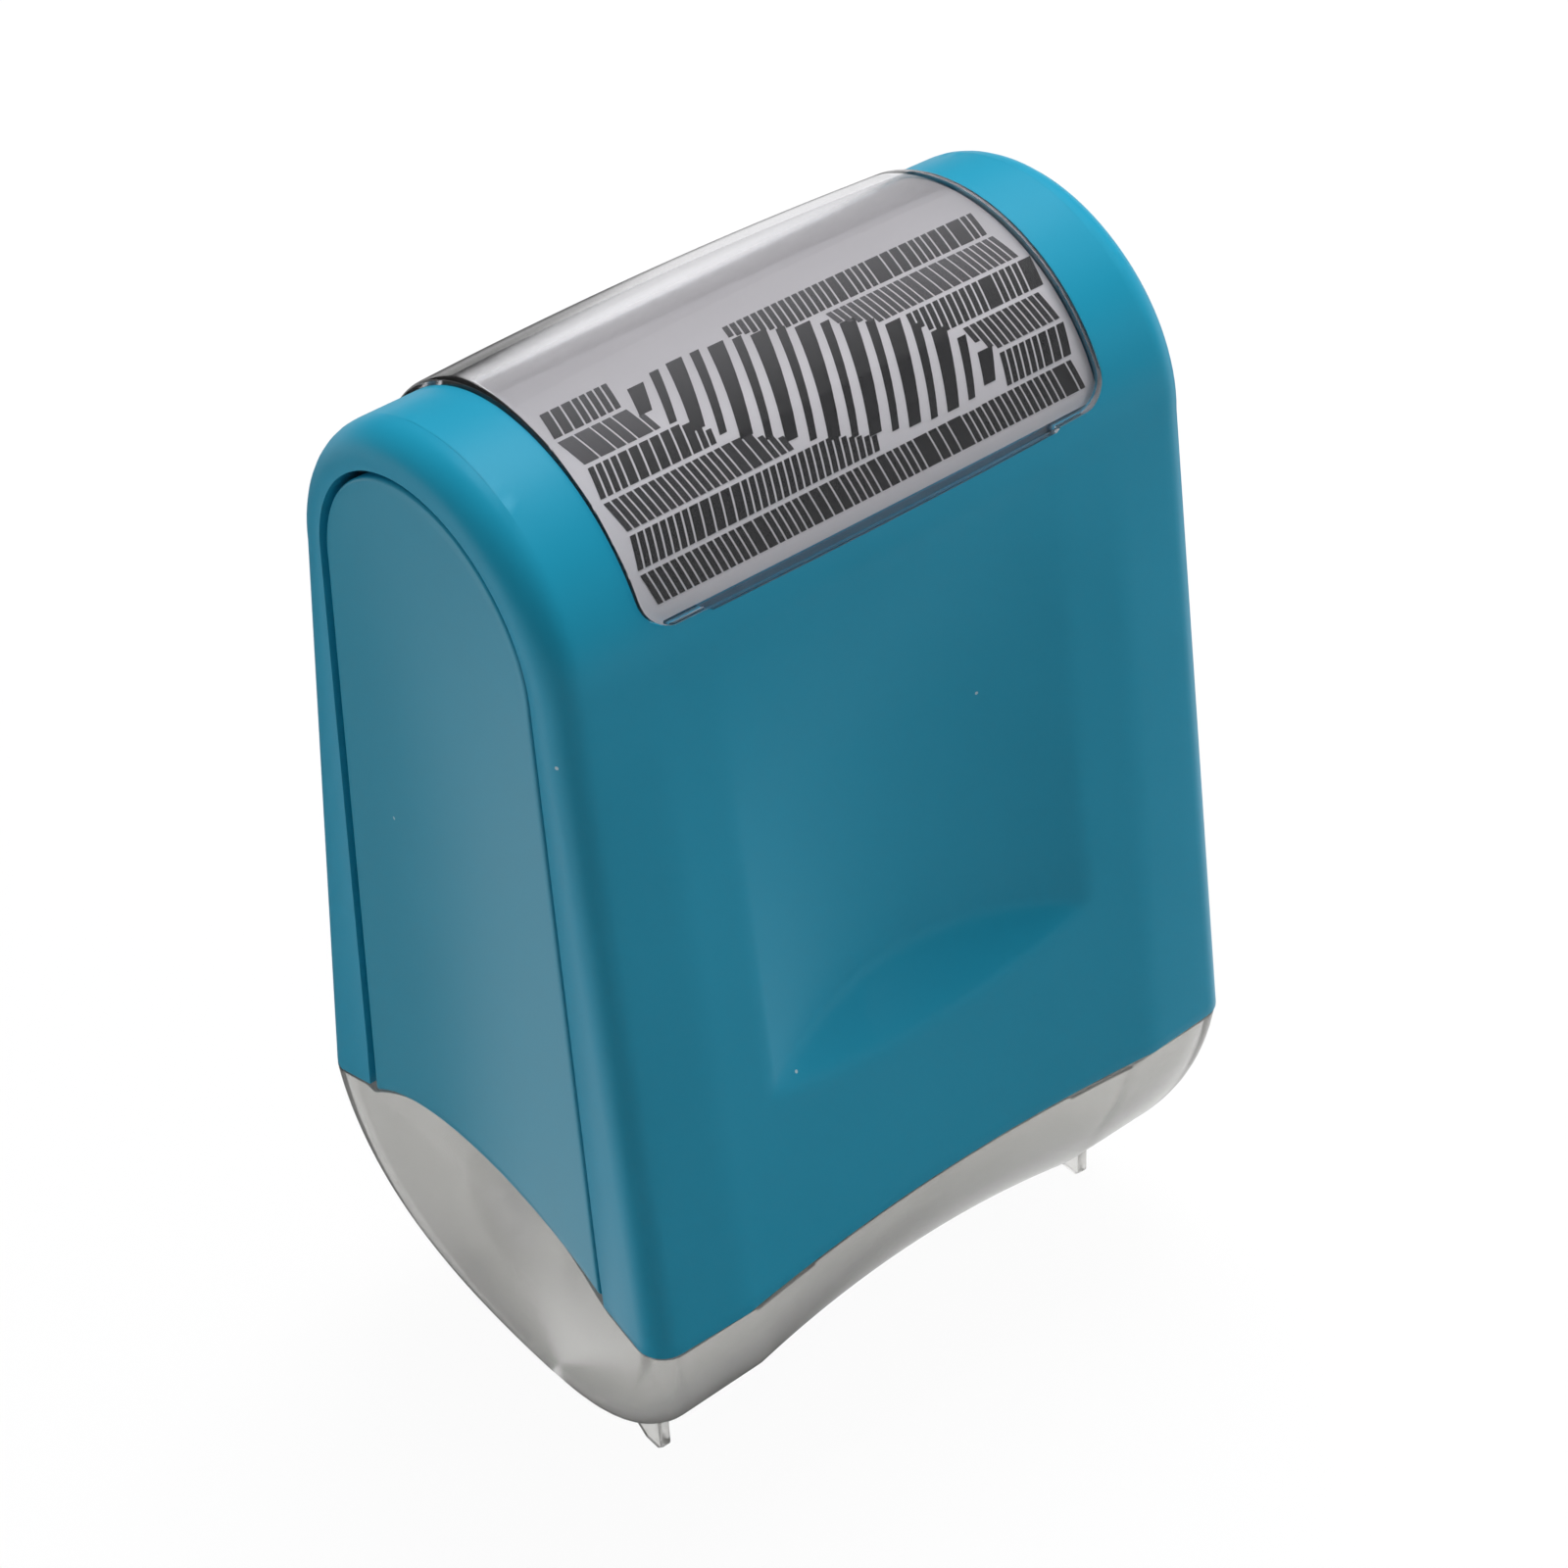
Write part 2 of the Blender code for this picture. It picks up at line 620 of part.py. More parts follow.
def panel_outline():
    """(y, z) points round the end panel, a groove's width inside the rim."""
    places = outline_places()
    points = []
    for place in places:
        z = outline_point(place, 0)[1]
        if place[0] == "wall" and z <= PANEL_LOW_Z:
            continue
        points.append(outline_point(place, rim_width(z) + GROOVE))
    foot = panel_foot()
    arch = []
    for i in range(OUTLINE_STEPS + 1):
        y = foot * (1 - 2 * i / OUTLINE_STEPS)
        arch.append((y, bottom_arch(y, foot, PANEL_LOW_Z, PANEL_ARCH_Z)))
    return points + arch


def panel_foot():
    """Half the depth of the end panel at its lower corners."""
    return half_depth(PANEL_LOW_Z) - rim_width(PANEL_LOW_Z) - GROOVE


def bottom_arch(y, half, low, high):
    """Height at y of the circular arc from (half, low) over (0, high)."""
    rise = high - low
    radius = (half ** 2 + rise ** 2) / (2 * rise)
    return high - radius + sqrt(radius ** 2 - y ** 2)


def make_panel(side, name):
    """The panel leans with the case's end, so it is made flat at the end's plane and sheared to follow it."""
    mesh = curve_plate(name, panel_outline(), -PANEL_THICK, 0)
    for vertex in mesh.vertices:
        vertex.co.x = side * (half_width(vertex.co.z) + vertex.co.x)
    if side < 0:
        mesh.flip_normals()
    panel = add_object(name, mesh, TEAL_PLASTIC)
    inner = half_width(PLATE_TOP_Z) - PANEL_THICK / 2
    for number, (y, z) in enumerate(peg_places()):
        ends = sorted((side * inner, side * (PLATE_OUT_X - PEG_DEPTH)))
        peg = cylinder_mesh(f"{name}_peg_{number}", PEG_RADIUS, *ends, y, z)
        boolean(panel, add_cutter(f"{name}_peg_{number}", peg), "UNION")
    return panel


def peg_places():
    return [(y, z) for z in (PEG_LOW_Z, PEG_HIGH_Z) for y in (-PEG_Y, PEG_Y)]


# Cap

def cap_end_x(z):
    """Where the cap's end wall stands at height z: a slight draft and a curve inwards at the bottom."""
    share = min(max((CAP_CENTRE_Z - z) / CAP_DEPTH, 0), 1)
    curve = 1 - (1 - share ** CAP_END_POWER) ** (1 / CAP_END_POWER)
    return half_width(max(z, SEAM_Z)) - CAP_END_DRAFT * share - CAP_END_DRAW * curve


def cap_sunk(x, share):
    """How far the cap's belly is sunk between its ridges."""
    ridge = RIDGE_X - CAP_HOLLOW_NARROWING * share
    if abs(x) >= ridge:
        return 0
    depth = HOLLOW_DEPTH + (CAP_HOLLOW_LOW - HOLLOW_DEPTH) * share
    return depth * (1 - (x / ridge) ** 2) - RIDGE_PROUD * (1 - share)


def cap_corner(share):
    return CORNER_ROUND + (CAP_ROUND_LOW - CORNER_ROUND) * share


def cap_rim_z(y):
    """Upper edge of the cap's end wall: it follows the case's rim, then the arch under the end panel."""
    seam = CAP_TOP_Z if y < 0 else CAP_TOP_BACK_Z
    groove = CAP_RADIUS - RIM_LOW
    foot = panel_foot()
    if abs(y) > groove:
        return seam + RIM_LIFT * (1 - (abs(y) - groove) / (RIM_LOW - CORNER_ROUND))
    if abs(y) > foot:
        return seam + RIM_LIFT
    return bottom_arch(y, foot, PANEL_LOW_Z, PANEL_ARCH_Z) - CAP_GAP


def cap_point(angle, column, wall):
    """A point of the cap, outside (wall 0) or inside: the angle runs from the front edge under the belly."""
    share = sin(angle)
    kind, side, value = column
    if kind == "belly":
        x = side * (RIDGE_X - CAP_HOLLOW_NARROWING * share) * value
        inset = cap_sunk(x, share) + wall
        return x, -(CAP_RADIUS - inset) * cos(angle), CAP_CENTRE_Z - (CAP_DEPTH - inset) * share
    corner = cap_corner(share)
    inset = corner * (1 - cos(value)) if kind == "round" else corner
    y, z = -(CAP_RADIUS - inset) * cos(angle), CAP_CENTRE_Z - (CAP_DEPTH - inset) * share
    if kind == "round":
        reach = corner * (1 - sin(value))
        x = cap_end_x(z) - reach - wall * sin(value)
        inset += wall * cos(value)
        return side * x, -(CAP_RADIUS - inset) * cos(angle), CAP_CENTRE_Z - (CAP_DEPTH - inset) * share
    drop = z - cap_rim_z(y)
    z = cap_rim_z(y * value) + drop * value
    return side * (cap_end_x(z) - wall), y * value, z


def cap_columns():
    right = [("belly", 1, share) for share in BELLY_SHARES]
    right += [("round", 1, pi / 2 * i / (ROUND_STEPS + 1)) for i in range(ROUND_STEPS + 2)]
    right += [("end", 1, share) for share in END_SHARES]
    left = [(kind, -side, value) for kind, side, value in reversed(right)]
    return left + [("belly", 1, 0.0)] + right


def cap_angles():
    """Angles of the cap's rows of faces, from its front edge under the belly to its back edge."""
    front = asin((CAP_CENTRE_Z - CAP_TOP_Z) / CAP_DEPTH)
    back = pi - asin((CAP_CENTRE_Z - CAP_TOP_BACK_Z) / CAP_DEPTH)
    return [front + (back - front) * i / CAP_STEPS for i in range(CAP_STEPS + 1)]


def tab_outline():
    """Section of a snap tab inside the front wall: it is rooted in the cap's wall and stands in the case."""
    outer = half_depth(SEAM_Z) - CASE_WALL - HOLLOW_DEPTH - FIT
    return [
        (-(CAP_RADIUS - HOLLOW_DEPTH), CAP_TOP_Z - TAB_ROOT),
        (-(CAP_RADIUS - HOLLOW_DEPTH), CAP_TOP_Z - TAB_ROOT / 2),
        (-outer, CAP_TOP_Z - TAB_ROOT / 4),
        (-outer, SEAM_Z + TAB_RISE),
        (-outer + TAB_THICK, SEAM_Z + TAB_RISE),
        (-outer + TAB_THICK, CAP_TOP_Z - TAB_ROOT),
    ]


def belly_z(x, y):
    """Height of the cap's outer face at x, y, on the rounding between its belly and its end."""
    inset = 0
    for _ in range(SETTLE_STEPS):
        share = sqrt(1 - (y / (CAP_RADIUS - inset)) ** 2)
        z = CAP_CENTRE_Z - (CAP_DEPTH - inset) * share
        corner = cap_corner(share)
        reach = min(max(cap_end_x(z) - x, 0), corner)
        inset = corner - sqrt(corner ** 2 - (corner - reach) ** 2)
    return z


def fin_root():
    """(y, z) points just inside the cap's wall, from the fin's back to its front."""
    points = []
    for i in range(CORNER_STEPS + 1):
        y = FIN_BACK_Y + (FIN_FRONT_Y - FIN_BACK_Y) * i / CORNER_STEPS
        points.append((-y, belly_z(FIN_X + FIN_THICK / 2, y) + FIN_ROOT))
    return points


def fin_outline():
    """Section of a fin: upright at the front, a short flat to stand on, then slanting up to the belly."""
    root = fin_root()
    return root + [
        (-FIN_FRONT_Y, FIN_NOSE),
        (-FIN_FRONT_Y + FIN_NOSE, 0),
        (-FIN_FRONT_Y + FIN_NOSE + FIN_FLAT, 0),
        (-FIN_BACK_Y, root[0][1] - FIN_ROOT),
    ]


def mirrored_pair(name, outline, x_low, x_high):
    """A plate and its mirror image behind the XZ plane, as two cutters."""
    made = []
    for number, side in enumerate((1, -1)):
        mesh = curve_plate(f"{name}_{number}", [(side * y, z) for y, z in outline], x_low, x_high)
        made.append(add_cutter(f"{name}_{number}", mesh))
    return made


def make_cap():
    columns, angles = cap_columns(), cap_angles()
    sheets = []
    for wall in (0, CAP_WALL):
        sheets.append([[cap_point(angle, column, wall) for column in columns] for angle in angles])
    cap = add_object("clear_cap", shell_mesh("clear_cap", *sheets), CLEAR_PLASTIC)
    for side, word in ((-1, "left"), (1, "right")):
        low = side * TAB_X - TAB_WIDTH / 2
        for tab in mirrored_pair(f"tab_{word}", tab_outline(), low, low + TAB_WIDTH):
            boolean(cap, tab, "UNION")
        low = side * FIN_X - FIN_THICK / 2
        for fin in mirrored_pair(f"fin_{word}", fin_outline(), low, low + FIN_THICK):
            boolean(cap, fin, "UNION")
    return cap


# Inner unit

def plate_outline():
    """(y, z) points of a side plate: straight top, shoulders, and a round end about the drum's pin."""
    reach = PLATE_SHOULDER_Z - DRUM_Z
    lean = asin(HUB_HOUSING / sqrt(PLATE_HALF_LOW ** 2 + reach ** 2)) + asin(
        PLATE_HALF_LOW / sqrt(PLATE_HALF_LOW ** 2 + reach ** 2))
    right = [
        (PLATE_HALF_TOP - PLATE_CORNER, PLATE_TOP_Z),
        (PLATE_HALF_TOP, PLATE_TOP_Z - PLATE_CORNER),
        (PLATE_HALF_LOW, PLATE_SHOULDER_Z + PLATE_CORNER),
        (PLATE_HALF_LOW, PLATE_SHOULDER_Z),
    ]
    start = pi / 2 - lean
    arc = []
    for i in range(OUTLINE_STEPS // 2 + 1):
        angle = start - (start + pi / 2) * i / (OUTLINE_STEPS // 2)
        arc.append((HUB_HOUSING * cos(angle), DRUM_Z + HUB_HOUSING * sin(angle)))
    right += arc
    left = [(-y, z) for y, z in reversed(right[:-1])]
    return right + left


def make_side_plate(side, name):
    ends = sorted((side * PLATE_IN_X, side * PLATE_OUT_X))
    plate = add_object(name, curve_plate(name, plate_outline(), *ends), WHITE_PLASTIC)
    holes = [(0, DRUM_Z, PIN_RADIUS + PRESS_GAP), (0, INK_Z, PIN_RADIUS + PRESS_GAP)]
    holes += [(y, z, PEG_RADIUS + FIT) for y, z in peg_places()]
    holes += [(y, TIE_Z, TIE_END_RADIUS + FIT) for y in (-tie_y(), tie_y())]
    for number, (y, z, radius) in enumerate(holes):
        bore = cylinder_mesh(f"{name}_hole_{number}", radius, ends[0] - OVERRUN, ends[1] + OVERRUN, y, z)
        boolean(plate, add_cutter(f"{name}_hole_{number}", bore), "DIFFERENCE")
    slot = box_mesh(f"{name}_slot",
                    (ends[0] - OVERRUN, -TONGUE_WIDTH / 2 - FIT, BRIDGE_Z - BRIDGE_THICK / 2 - FIT),
                    (ends[1] + OVERRUN, TONGUE_WIDTH / 2 + FIT, BRIDGE_Z + BRIDGE_THICK / 2 + FIT))
    boolean(plate, add_cutter(f"{name}_slot", slot), "DIFFERENCE")
    return plate


def tie_y():
    """The tie bars stand just inside the case's front and back walls."""
    return half_depth(TIE_Z) - HOLLOW_DEPTH - DISH_DEPTH - CASE_WALL - TIE_RADIUS - FIT


def make_bridge():
    low, high = BRIDGE_Z - BRIDGE_THICK / 2, BRIDGE_Z + BRIDGE_THICK / 2
    inner = PLATE_IN_X - FIT
    plate = box_mesh("top_bridge", (-inner, -BRIDGE_HALF, low), (inner, BRIDGE_HALF, high))
    bridge = add_object("top_bridge", plate, WHITE_PLASTIC)
    tongue = box_mesh("bridge_tongue", (-PLATE_OUT_X, -TONGUE_WIDTH / 2, low + PRESS_GAP),
                      (PLATE_OUT_X, TONGUE_WIDTH / 2, high - PRESS_GAP))
    boolean(bridge, add_cutter("bridge_tongue", tongue), "UNION")
    tab = box_mesh("bridge_tab", (-TAB_HANDLE_WIDTH / 2, -BRIDGE_THICK / 2, BRIDGE_Z),
                   (TAB_HANDLE_WIDTH / 2, BRIDGE_THICK / 2, high + TAB_HANDLE_RISE))
    boolean(bridge, add_cutter("bridge_tab", tab), "UNION")
    bevel(bridge, BRIDGE_BEVEL, segments=1)
    return bridge


def make_tie_bar(side, name):
    """A round bar with a thinner end in each side plate."""
    inner = PLATE_IN_X - FIT
    profile = [
        (PLATE_OUT_X, TIE_END_RADIUS), (inner, TIE_END_RADIUS), (inner, TIE_RADIUS),
        (-inner, TIE_RADIUS), (-inner, TIE_END_RADIUS), (-PLATE_OUT_X, TIE_END_RADIUS),
    ]
    bar = lathe_bar(name, profile, WHITE_PLASTIC, side * tie_y(), TIE_Z)
    return bar


def lathe_bar(name, profile, finish, y, z, steps=PIN_STEPS):
    """A solid turned bar along X from (along X, radius) points, closed at both ends."""
    rows = []
    for along, radius in [(profile[0][0], 0.0)] + profile + [(profile[-1][0], 0.0)]:
        ring = []
        for i in range(steps):
            angle = 2 * pi * i / steps
            ring.append((along, y + radius * cos(angle), z + radius * sin(angle)))
        rows.append(ring)
    mesh = grid_mesh(name, rows, close_ring=True)
    bm = bmesh.new()
    bm.from_mesh(mesh)
    bmesh.ops.recalc_face_normals(bm, faces=bm.faces)
    bm.to_mesh(mesh)
    bm.free()
    return add_object(name, mesh, finish)


def make_pin(name, z):
    profile = [
        (PIN_HALF, PIN_RADIUS - PIN_CHAMFER), (PIN_HALF - PIN_CHAMFER, PIN_RADIUS),
        (-PIN_HALF + PIN_CHAMFER, PIN_RADIUS), (-PIN_HALF, PIN_RADIUS - PIN_CHAMFER),
    ]
    return lathe_bar(name, profile, STEEL_PIN, 0, z)


def ring_profile(low_x, high_x, inner, outer):
    """Closed (along X, radius) profile of a plain ring."""
    return [(high_x, outer), (low_x, outer), (low_x, inner), (high_x, inner)]


def make_clip(side, name, z):
    inner = PLATE_OUT_X + PRESS_GAP * 2
    low, high = sorted((side * inner, side * (inner + CLIP_THICK)))
    return turned(name, ring_profile(low, high, PIN_RADIUS + PRESS_GAP, CLIP_RADIUS), STEEL_PIN, z, PIN_STEPS)


# Print drum

def joint_empty(name, z):
    made = bpy.data.objects.new(name, None)
    PARTS.objects.link(made)
    made.location = (0, 0, z)
    return made


def make_drum():
    axis = joint_empty("drum_joint", DRUM_Z)
    bore = BUSH_RADIUS + PRESS_GAP
    core = [
        (DRUM_HALF, DRUM_CORE_RADIUS), (-DRUM_HALF, DRUM_CORE_RADIUS),
        (-DRUM_HALF, DRUM_CORE_RADIUS - DRUM_RIM), (-WEB_HALF, DRUM_CORE_RADIUS - DRUM_RIM),
        (-WEB_HALF, HUB_RADIUS), (-HUB_HALF, HUB_RADIUS), (-HUB_HALF, bore),
        (HUB_HALF, bore), (HUB_HALF, HUB_RADIUS), (WEB_HALF, HUB_RADIUS),
        (WEB_HALF, DRUM_CORE_RADIUS - DRUM_RIM), (DRUM_HALF, DRUM_CORE_RADIUS - DRUM_RIM),
    ]
    turned("drum_core", core, WHITE_PLASTIC, DRUM_Z, parent=axis)
    inner = DRUM_CORE_RADIUS + PRESS_GAP
    turned("rubber_die", ring_profile(-DIE_HALF, DIE_HALF, inner, DIE_RADIUS), RUBBER, DRUM_Z, parent=axis)
    for side, word in ((-1, "left"), (1, "right")):
        low, high = sorted((side * GRIP_IN_X, side * GRIP_OUT_X))
        turned(f"{word}_grip_ring", ring_profile(low, high, inner, GRIP_RADIUS), RUBBER, DRUM_Z, parent=axis)
        low, high = sorted((side * HUB_HALF, side * (HUB_HALF - BUSH_LENGTH)))
        turned(f"{word}_drum_bush", ring_profile(low, high, PIN_RADIUS + RUN, BUSH_RADIUS), BUSH, DRUM_Z,
               PIN_STEPS, parent=axis)


# Ink roller

def make_ink_roller():
    axis = joint_empty("ink_joint", INK_Z)
    flange_in = INK_HALF + PRESS_GAP * 2
    flange_out = flange_in + INK_FLANGE_THICK
    half = [
        (HUB_HALF, INK_HUB_RADIUS), (flange_out, INK_HUB_RADIUS),
        (flange_out, INK_FLANGE_RADIUS), (flange_in, INK_FLANGE_RADIUS), (flange_in, INK_CORE_RADIUS),
    ]
    outer = half + [(-along, radius) for along, radius in reversed(half)]
    bore = PIN_RADIUS + RUN
    core = outer + [(-HUB_HALF, bore), (HUB_HALF, bore)]
    turned("ink_core", core, WHITE_PLASTIC, INK_Z, parent=axis)
    sleeve = ring_profile(-INK_HALF, INK_HALF, INK_CORE_RADIUS + PRESS_GAP, INK_RADIUS)
    turned("ink_sleeve", sleeve, FELT, INK_Z, parent=axis)


def make_inner_unit():
    for side, word in ((-1, "left"), (1, "right")):
        make_panel(side, f"{word}_end_panel")
        make_side_plate(side, f"{word}_side_plate")
        make_clip(side, f"{word}_axle_clip", DRUM_Z)
        make_clip(side, f"{word}_ink_clip", INK_Z)
    make_bridge()
    make_tie_bar(-1, "front_tie_bar")
    make_tie_bar(1, "rear_tie_bar")
    make_pin("drum_axle", DRUM_Z)
    make_pin("ink_axle", INK_Z)


clear_scene()
PARTS = new_collection("privacy_roller_stamp")
CUTTERS = new_collection("cutters")
TEAL_PLASTIC = material("teal_plastic", TEAL, 0.42)
CLEAR_PLASTIC = material("clear_plastic", CLEAR, 0.12, transmission=0.9)
CARD = material("card", CARD_WHITE, 0.6)
WHITE_PLASTIC = material("white_plastic", SHELL_WHITE, 0.45)
RUBBER = material("rubber", RUBBER_GREY, 0.75)
FELT = material("felt", FELT_BLACK, 0.95)
STEEL_PIN = material("steel", STEEL, 0.3, metallic=1.0)
BUSH = material("bush", SHELL_WHITE, 0.5)

make_case()
make_window()
make_card()
make_cap()
make_inner_unit()
make_drum()
make_ink_roller()
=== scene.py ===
"""Privacy roller stamp: the looks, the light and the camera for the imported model.

Metres, in the model's own frame: +Z up, X along the rollers, -Y the front.
"""

import random
from math import asin, atan2, cos, pi, radians, sin, sqrt

import bpy
from mathutils import Matrix, Vector


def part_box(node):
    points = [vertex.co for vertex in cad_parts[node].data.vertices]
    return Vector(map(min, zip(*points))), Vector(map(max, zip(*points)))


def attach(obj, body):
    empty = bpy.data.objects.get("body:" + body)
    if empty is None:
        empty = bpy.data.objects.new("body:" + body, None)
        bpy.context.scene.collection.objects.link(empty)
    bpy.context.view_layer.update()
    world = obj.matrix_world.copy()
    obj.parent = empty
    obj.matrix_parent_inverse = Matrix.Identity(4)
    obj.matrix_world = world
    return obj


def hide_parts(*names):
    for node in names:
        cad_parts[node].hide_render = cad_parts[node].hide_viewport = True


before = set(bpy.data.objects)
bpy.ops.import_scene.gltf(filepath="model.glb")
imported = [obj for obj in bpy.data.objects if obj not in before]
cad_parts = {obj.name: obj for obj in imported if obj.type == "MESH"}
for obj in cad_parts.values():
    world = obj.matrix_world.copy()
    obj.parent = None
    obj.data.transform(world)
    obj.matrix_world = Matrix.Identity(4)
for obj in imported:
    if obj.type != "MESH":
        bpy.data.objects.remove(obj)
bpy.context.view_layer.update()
MM = 0.001

# Print drum core
# A white moulded spool: a rim that carries the rubber, a web in the middle and a hub
# for the bushes. It is turned here from its outline, as the mould for it would be.
DRUM_Z = 19.5 * MM
CORE_RADIUS = 10.7 * MM
CORE_HALF = 21.0 * MM
CORE_RIM = 1.7 * MM
HUB_RADIUS = 4.2 * MM
HUB_HALF = 22.2 * MM
HUB_BORE = 2.75 * MM
WEB_HALF = 1.0 * MM
EDGE_ROUND = 0.2 * MM
SHARP_ANGLE = 35
TURN_STEPS = 96
WELD = 0.001 * MM
MOULD_GRAIN = 3000
MOULD_RELIEF = 0.02 * MM
GLOSS_SPREAD = 0.12
CORE_WHITE = (0.74, 0.74, 0.72)


def deselect():
    bpy.ops.object.select_all(action="DESELECT")


def pick(*pieces):
    """Selects these pieces and nothing else, the first of them active."""
    deselect()
    for piece in pieces:
        piece.select_set(True)
    bpy.context.view_layer.objects.active = pieces[0]


def start_piece(name):
    """The primitive that was just added, under its own name, with its place in its mesh."""
    piece = bpy.context.object
    piece.name = name
    piece.data.name = name
    bpy.ops.object.transform_apply(location=True, rotation=True, scale=True)
    return piece


def apply_step(piece, kind, **settings):
    """Adds one modifier, sets it and applies it."""
    pick(piece)
    step = piece.modifiers.new(kind.title(), kind)
    for key, value in settings.items():
        setattr(step, key, value)
    bpy.ops.object.modifier_apply(modifier=step.name)


def round_edges(piece, width, segments=2, angle=SHARP_ANGLE):
    apply_step(piece, "BEVEL", width=width, segments=segments, limit_method="ANGLE",
               angle_limit=radians(angle), harden_normals=False)


def smooth(piece, angle=SHARP_ANGLE):
    pick(piece)
    bpy.ops.object.shade_smooth_by_angle(angle=radians(angle))


def lathe(name, outline, y, z, steps=TURN_STEPS, edge=EDGE_ROUND):
    """A piece turned about an axis along X at y, z, from a closed outline of (x, radius) points."""
    deselect()
    bpy.ops.mesh.primitive_plane_add(size=MM, location=(outline[0][0], y, z + outline[0][1]))
    piece = start_piece(name)
    bpy.ops.object.mode_set(mode="EDIT")
    bpy.ops.mesh.select_mode(type="VERT")
    bpy.ops.mesh.select_all(action="SELECT")
    bpy.ops.mesh.merge(type="CENTER")
    for here, there in zip(outline, outline[1:] + outline[:1]):
        step = (there[0] - here[0], 0, there[1] - here[1])
        bpy.ops.mesh.extrude_region_move(TRANSFORM_OT_translate={"value": step})
    bpy.ops.mesh.select_all(action="SELECT")
    bpy.ops.mesh.remove_doubles(threshold=WELD)
    bpy.ops.mesh.select_all(action="SELECT")
    bpy.ops.mesh.spin(steps=steps, angle=2 * pi, center=(0, y, z), axis=(1, 0, 0))
    bpy.ops.mesh.select_all(action="SELECT")
    bpy.ops.mesh.remove_doubles(threshold=WELD)
    bpy.ops.mesh.normals_make_consistent(inside=False)
    bpy.ops.object.mode_set(mode="OBJECT")
    if edge:
        round_edges(piece, edge)
    smooth(piece)
    return piece


def new_finish(name):
    made = bpy.data.materials.new(name)
    made.use_nodes = True
    return made


def feed(tree, node, feeds):
    """Gives a node's inputs plain values, or links them to the outputs that drive them."""
    for key, value in feeds.items():
        if isinstance(value, bpy.types.NodeSocket):
            tree.links.new(value, node.inputs[key])
        else:
            node.inputs[key].default_value = value


def add_node(tree, kind, feeds, **settings):
    """Adds one node, sets it and feeds its inputs."""
    made = tree.nodes.new(kind)
    for key, value in settings.items():
        setattr(made, key, value)
    feed(tree, made, feeds)
    return made


def ramp(tree, value, reach=(0.0, 1.0), result=(0.0, 1.0)):
    """Turns a value's reach evenly into the result, and holds it at its two ends."""
    feeds = {"Value": value, "From Min": reach[0], "From Max": reach[1],
             "To Min": result[0], "To Max": result[1]}
    return add_node(tree, "ShaderNodeMapRange", feeds).outputs["Result"]


def noise(tree, place, scale, detail=2.0):
    """Soft cloudy values over a place, with so many clouds to the metre."""
    feeds = {"Vector": place, "Scale": scale, "Detail": detail}
    return add_node(tree, "ShaderNodeTexNoise", feeds).outputs["Fac"]


def blend(tree, share, near, far):
    """A colour between near and far, each a plain colour or an output."""
    feeds = {"Factor": share, "A": near, "B": far}
    return add_node(tree, "ShaderNodeMix", feeds, data_type="RGBA").outputs["Result"]


def plastic(name, colour, spread, grain, roughness, bump, bump_scale=MOULD_GRAIN, specular=0.5):
    """Moulded plastic: cloudy colour, uneven gloss and the fine texture of the mould's surface."""
    made = new_finish(name)
    tree = made.node_tree
    place = add_node(tree, "ShaderNodeTexCoord", {}).outputs["Object"]
    cloud = noise(tree, place, grain, detail=4.0)
    dark = (*[share * (1 - spread) for share in colour], 1)
    light = (*[min(share * (1 + spread), 1) for share in colour], 1)
    gloss = (roughness * (1 - GLOSS_SPREAD), roughness * (1 + GLOSS_SPREAD))
    relief = add_node(tree, "ShaderNodeBump", {
        "Strength": bump, "Distance": MOULD_RELIEF, "Height": noise(tree, place, bump_scale),
    })
    feed(tree, tree.nodes["Principled BSDF"], {
        "Base Color": blend(tree, cloud, dark, light), "Roughness": ramp(tree, cloud, result=gloss),
        "Specular IOR Level": specular, "Normal": relief.outputs["Normal"],
    })
    return made


def dress(piece, finish):
    piece.data.materials.clear()
    piece.data.materials.append(finish)
    return piece


white_plastic = plastic("white_plastic", CORE_WHITE, spread=0.03, grain=90, roughness=0.45,
                        bump=0.15)
core_outline = [
    (CORE_HALF, CORE_RADIUS), (-CORE_HALF, CORE_RADIUS), (-CORE_HALF, CORE_RADIUS - CORE_RIM),
    (-WEB_HALF, CORE_RADIUS - CORE_RIM), (-WEB_HALF, HUB_RADIUS), (-HUB_HALF, HUB_RADIUS),
    (-HUB_HALF, HUB_BORE), (HUB_HALF, HUB_BORE), (HUB_HALF, HUB_RADIUS), (WEB_HALF, HUB_RADIUS),
    (WEB_HALF, CORE_RADIUS - CORE_RIM), (CORE_HALF, CORE_RADIUS - CORE_RIM),
]
core = dress(lathe("drum_core_moulding", core_outline, 0, DRUM_Z), white_plastic)
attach(core, "drum")
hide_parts("drum_core")

# Rubber die
# A light grey rubber band glued round the drum. Its raised blocks carry the ink to the
# paper, in rows along the drum; here they are a generic pattern of short bars.
DIE_HALF = 19.0 * MM
DIE_RADIUS = 12.6 * MM
DIE_RELIEF = 0.5 * MM
DIE_BLOCK_EDGE = 0.06 * MM
DIE_BANDS = 60
DIE_STEPS = 150
DIE_ROW = 5
DIE_BLOCK_SHARE = 0.62
DIE_GREY = (0.55, 0.55, 0.54)
FIT_GAP = 0.05 * MM
SEED = 7


def face_bands(half, radius, count):
    """The outer edge of a turned outline in even bands, from its right end to its left."""
    return [(half - 2 * half * i / count, radius) for i in range(count + 1)]


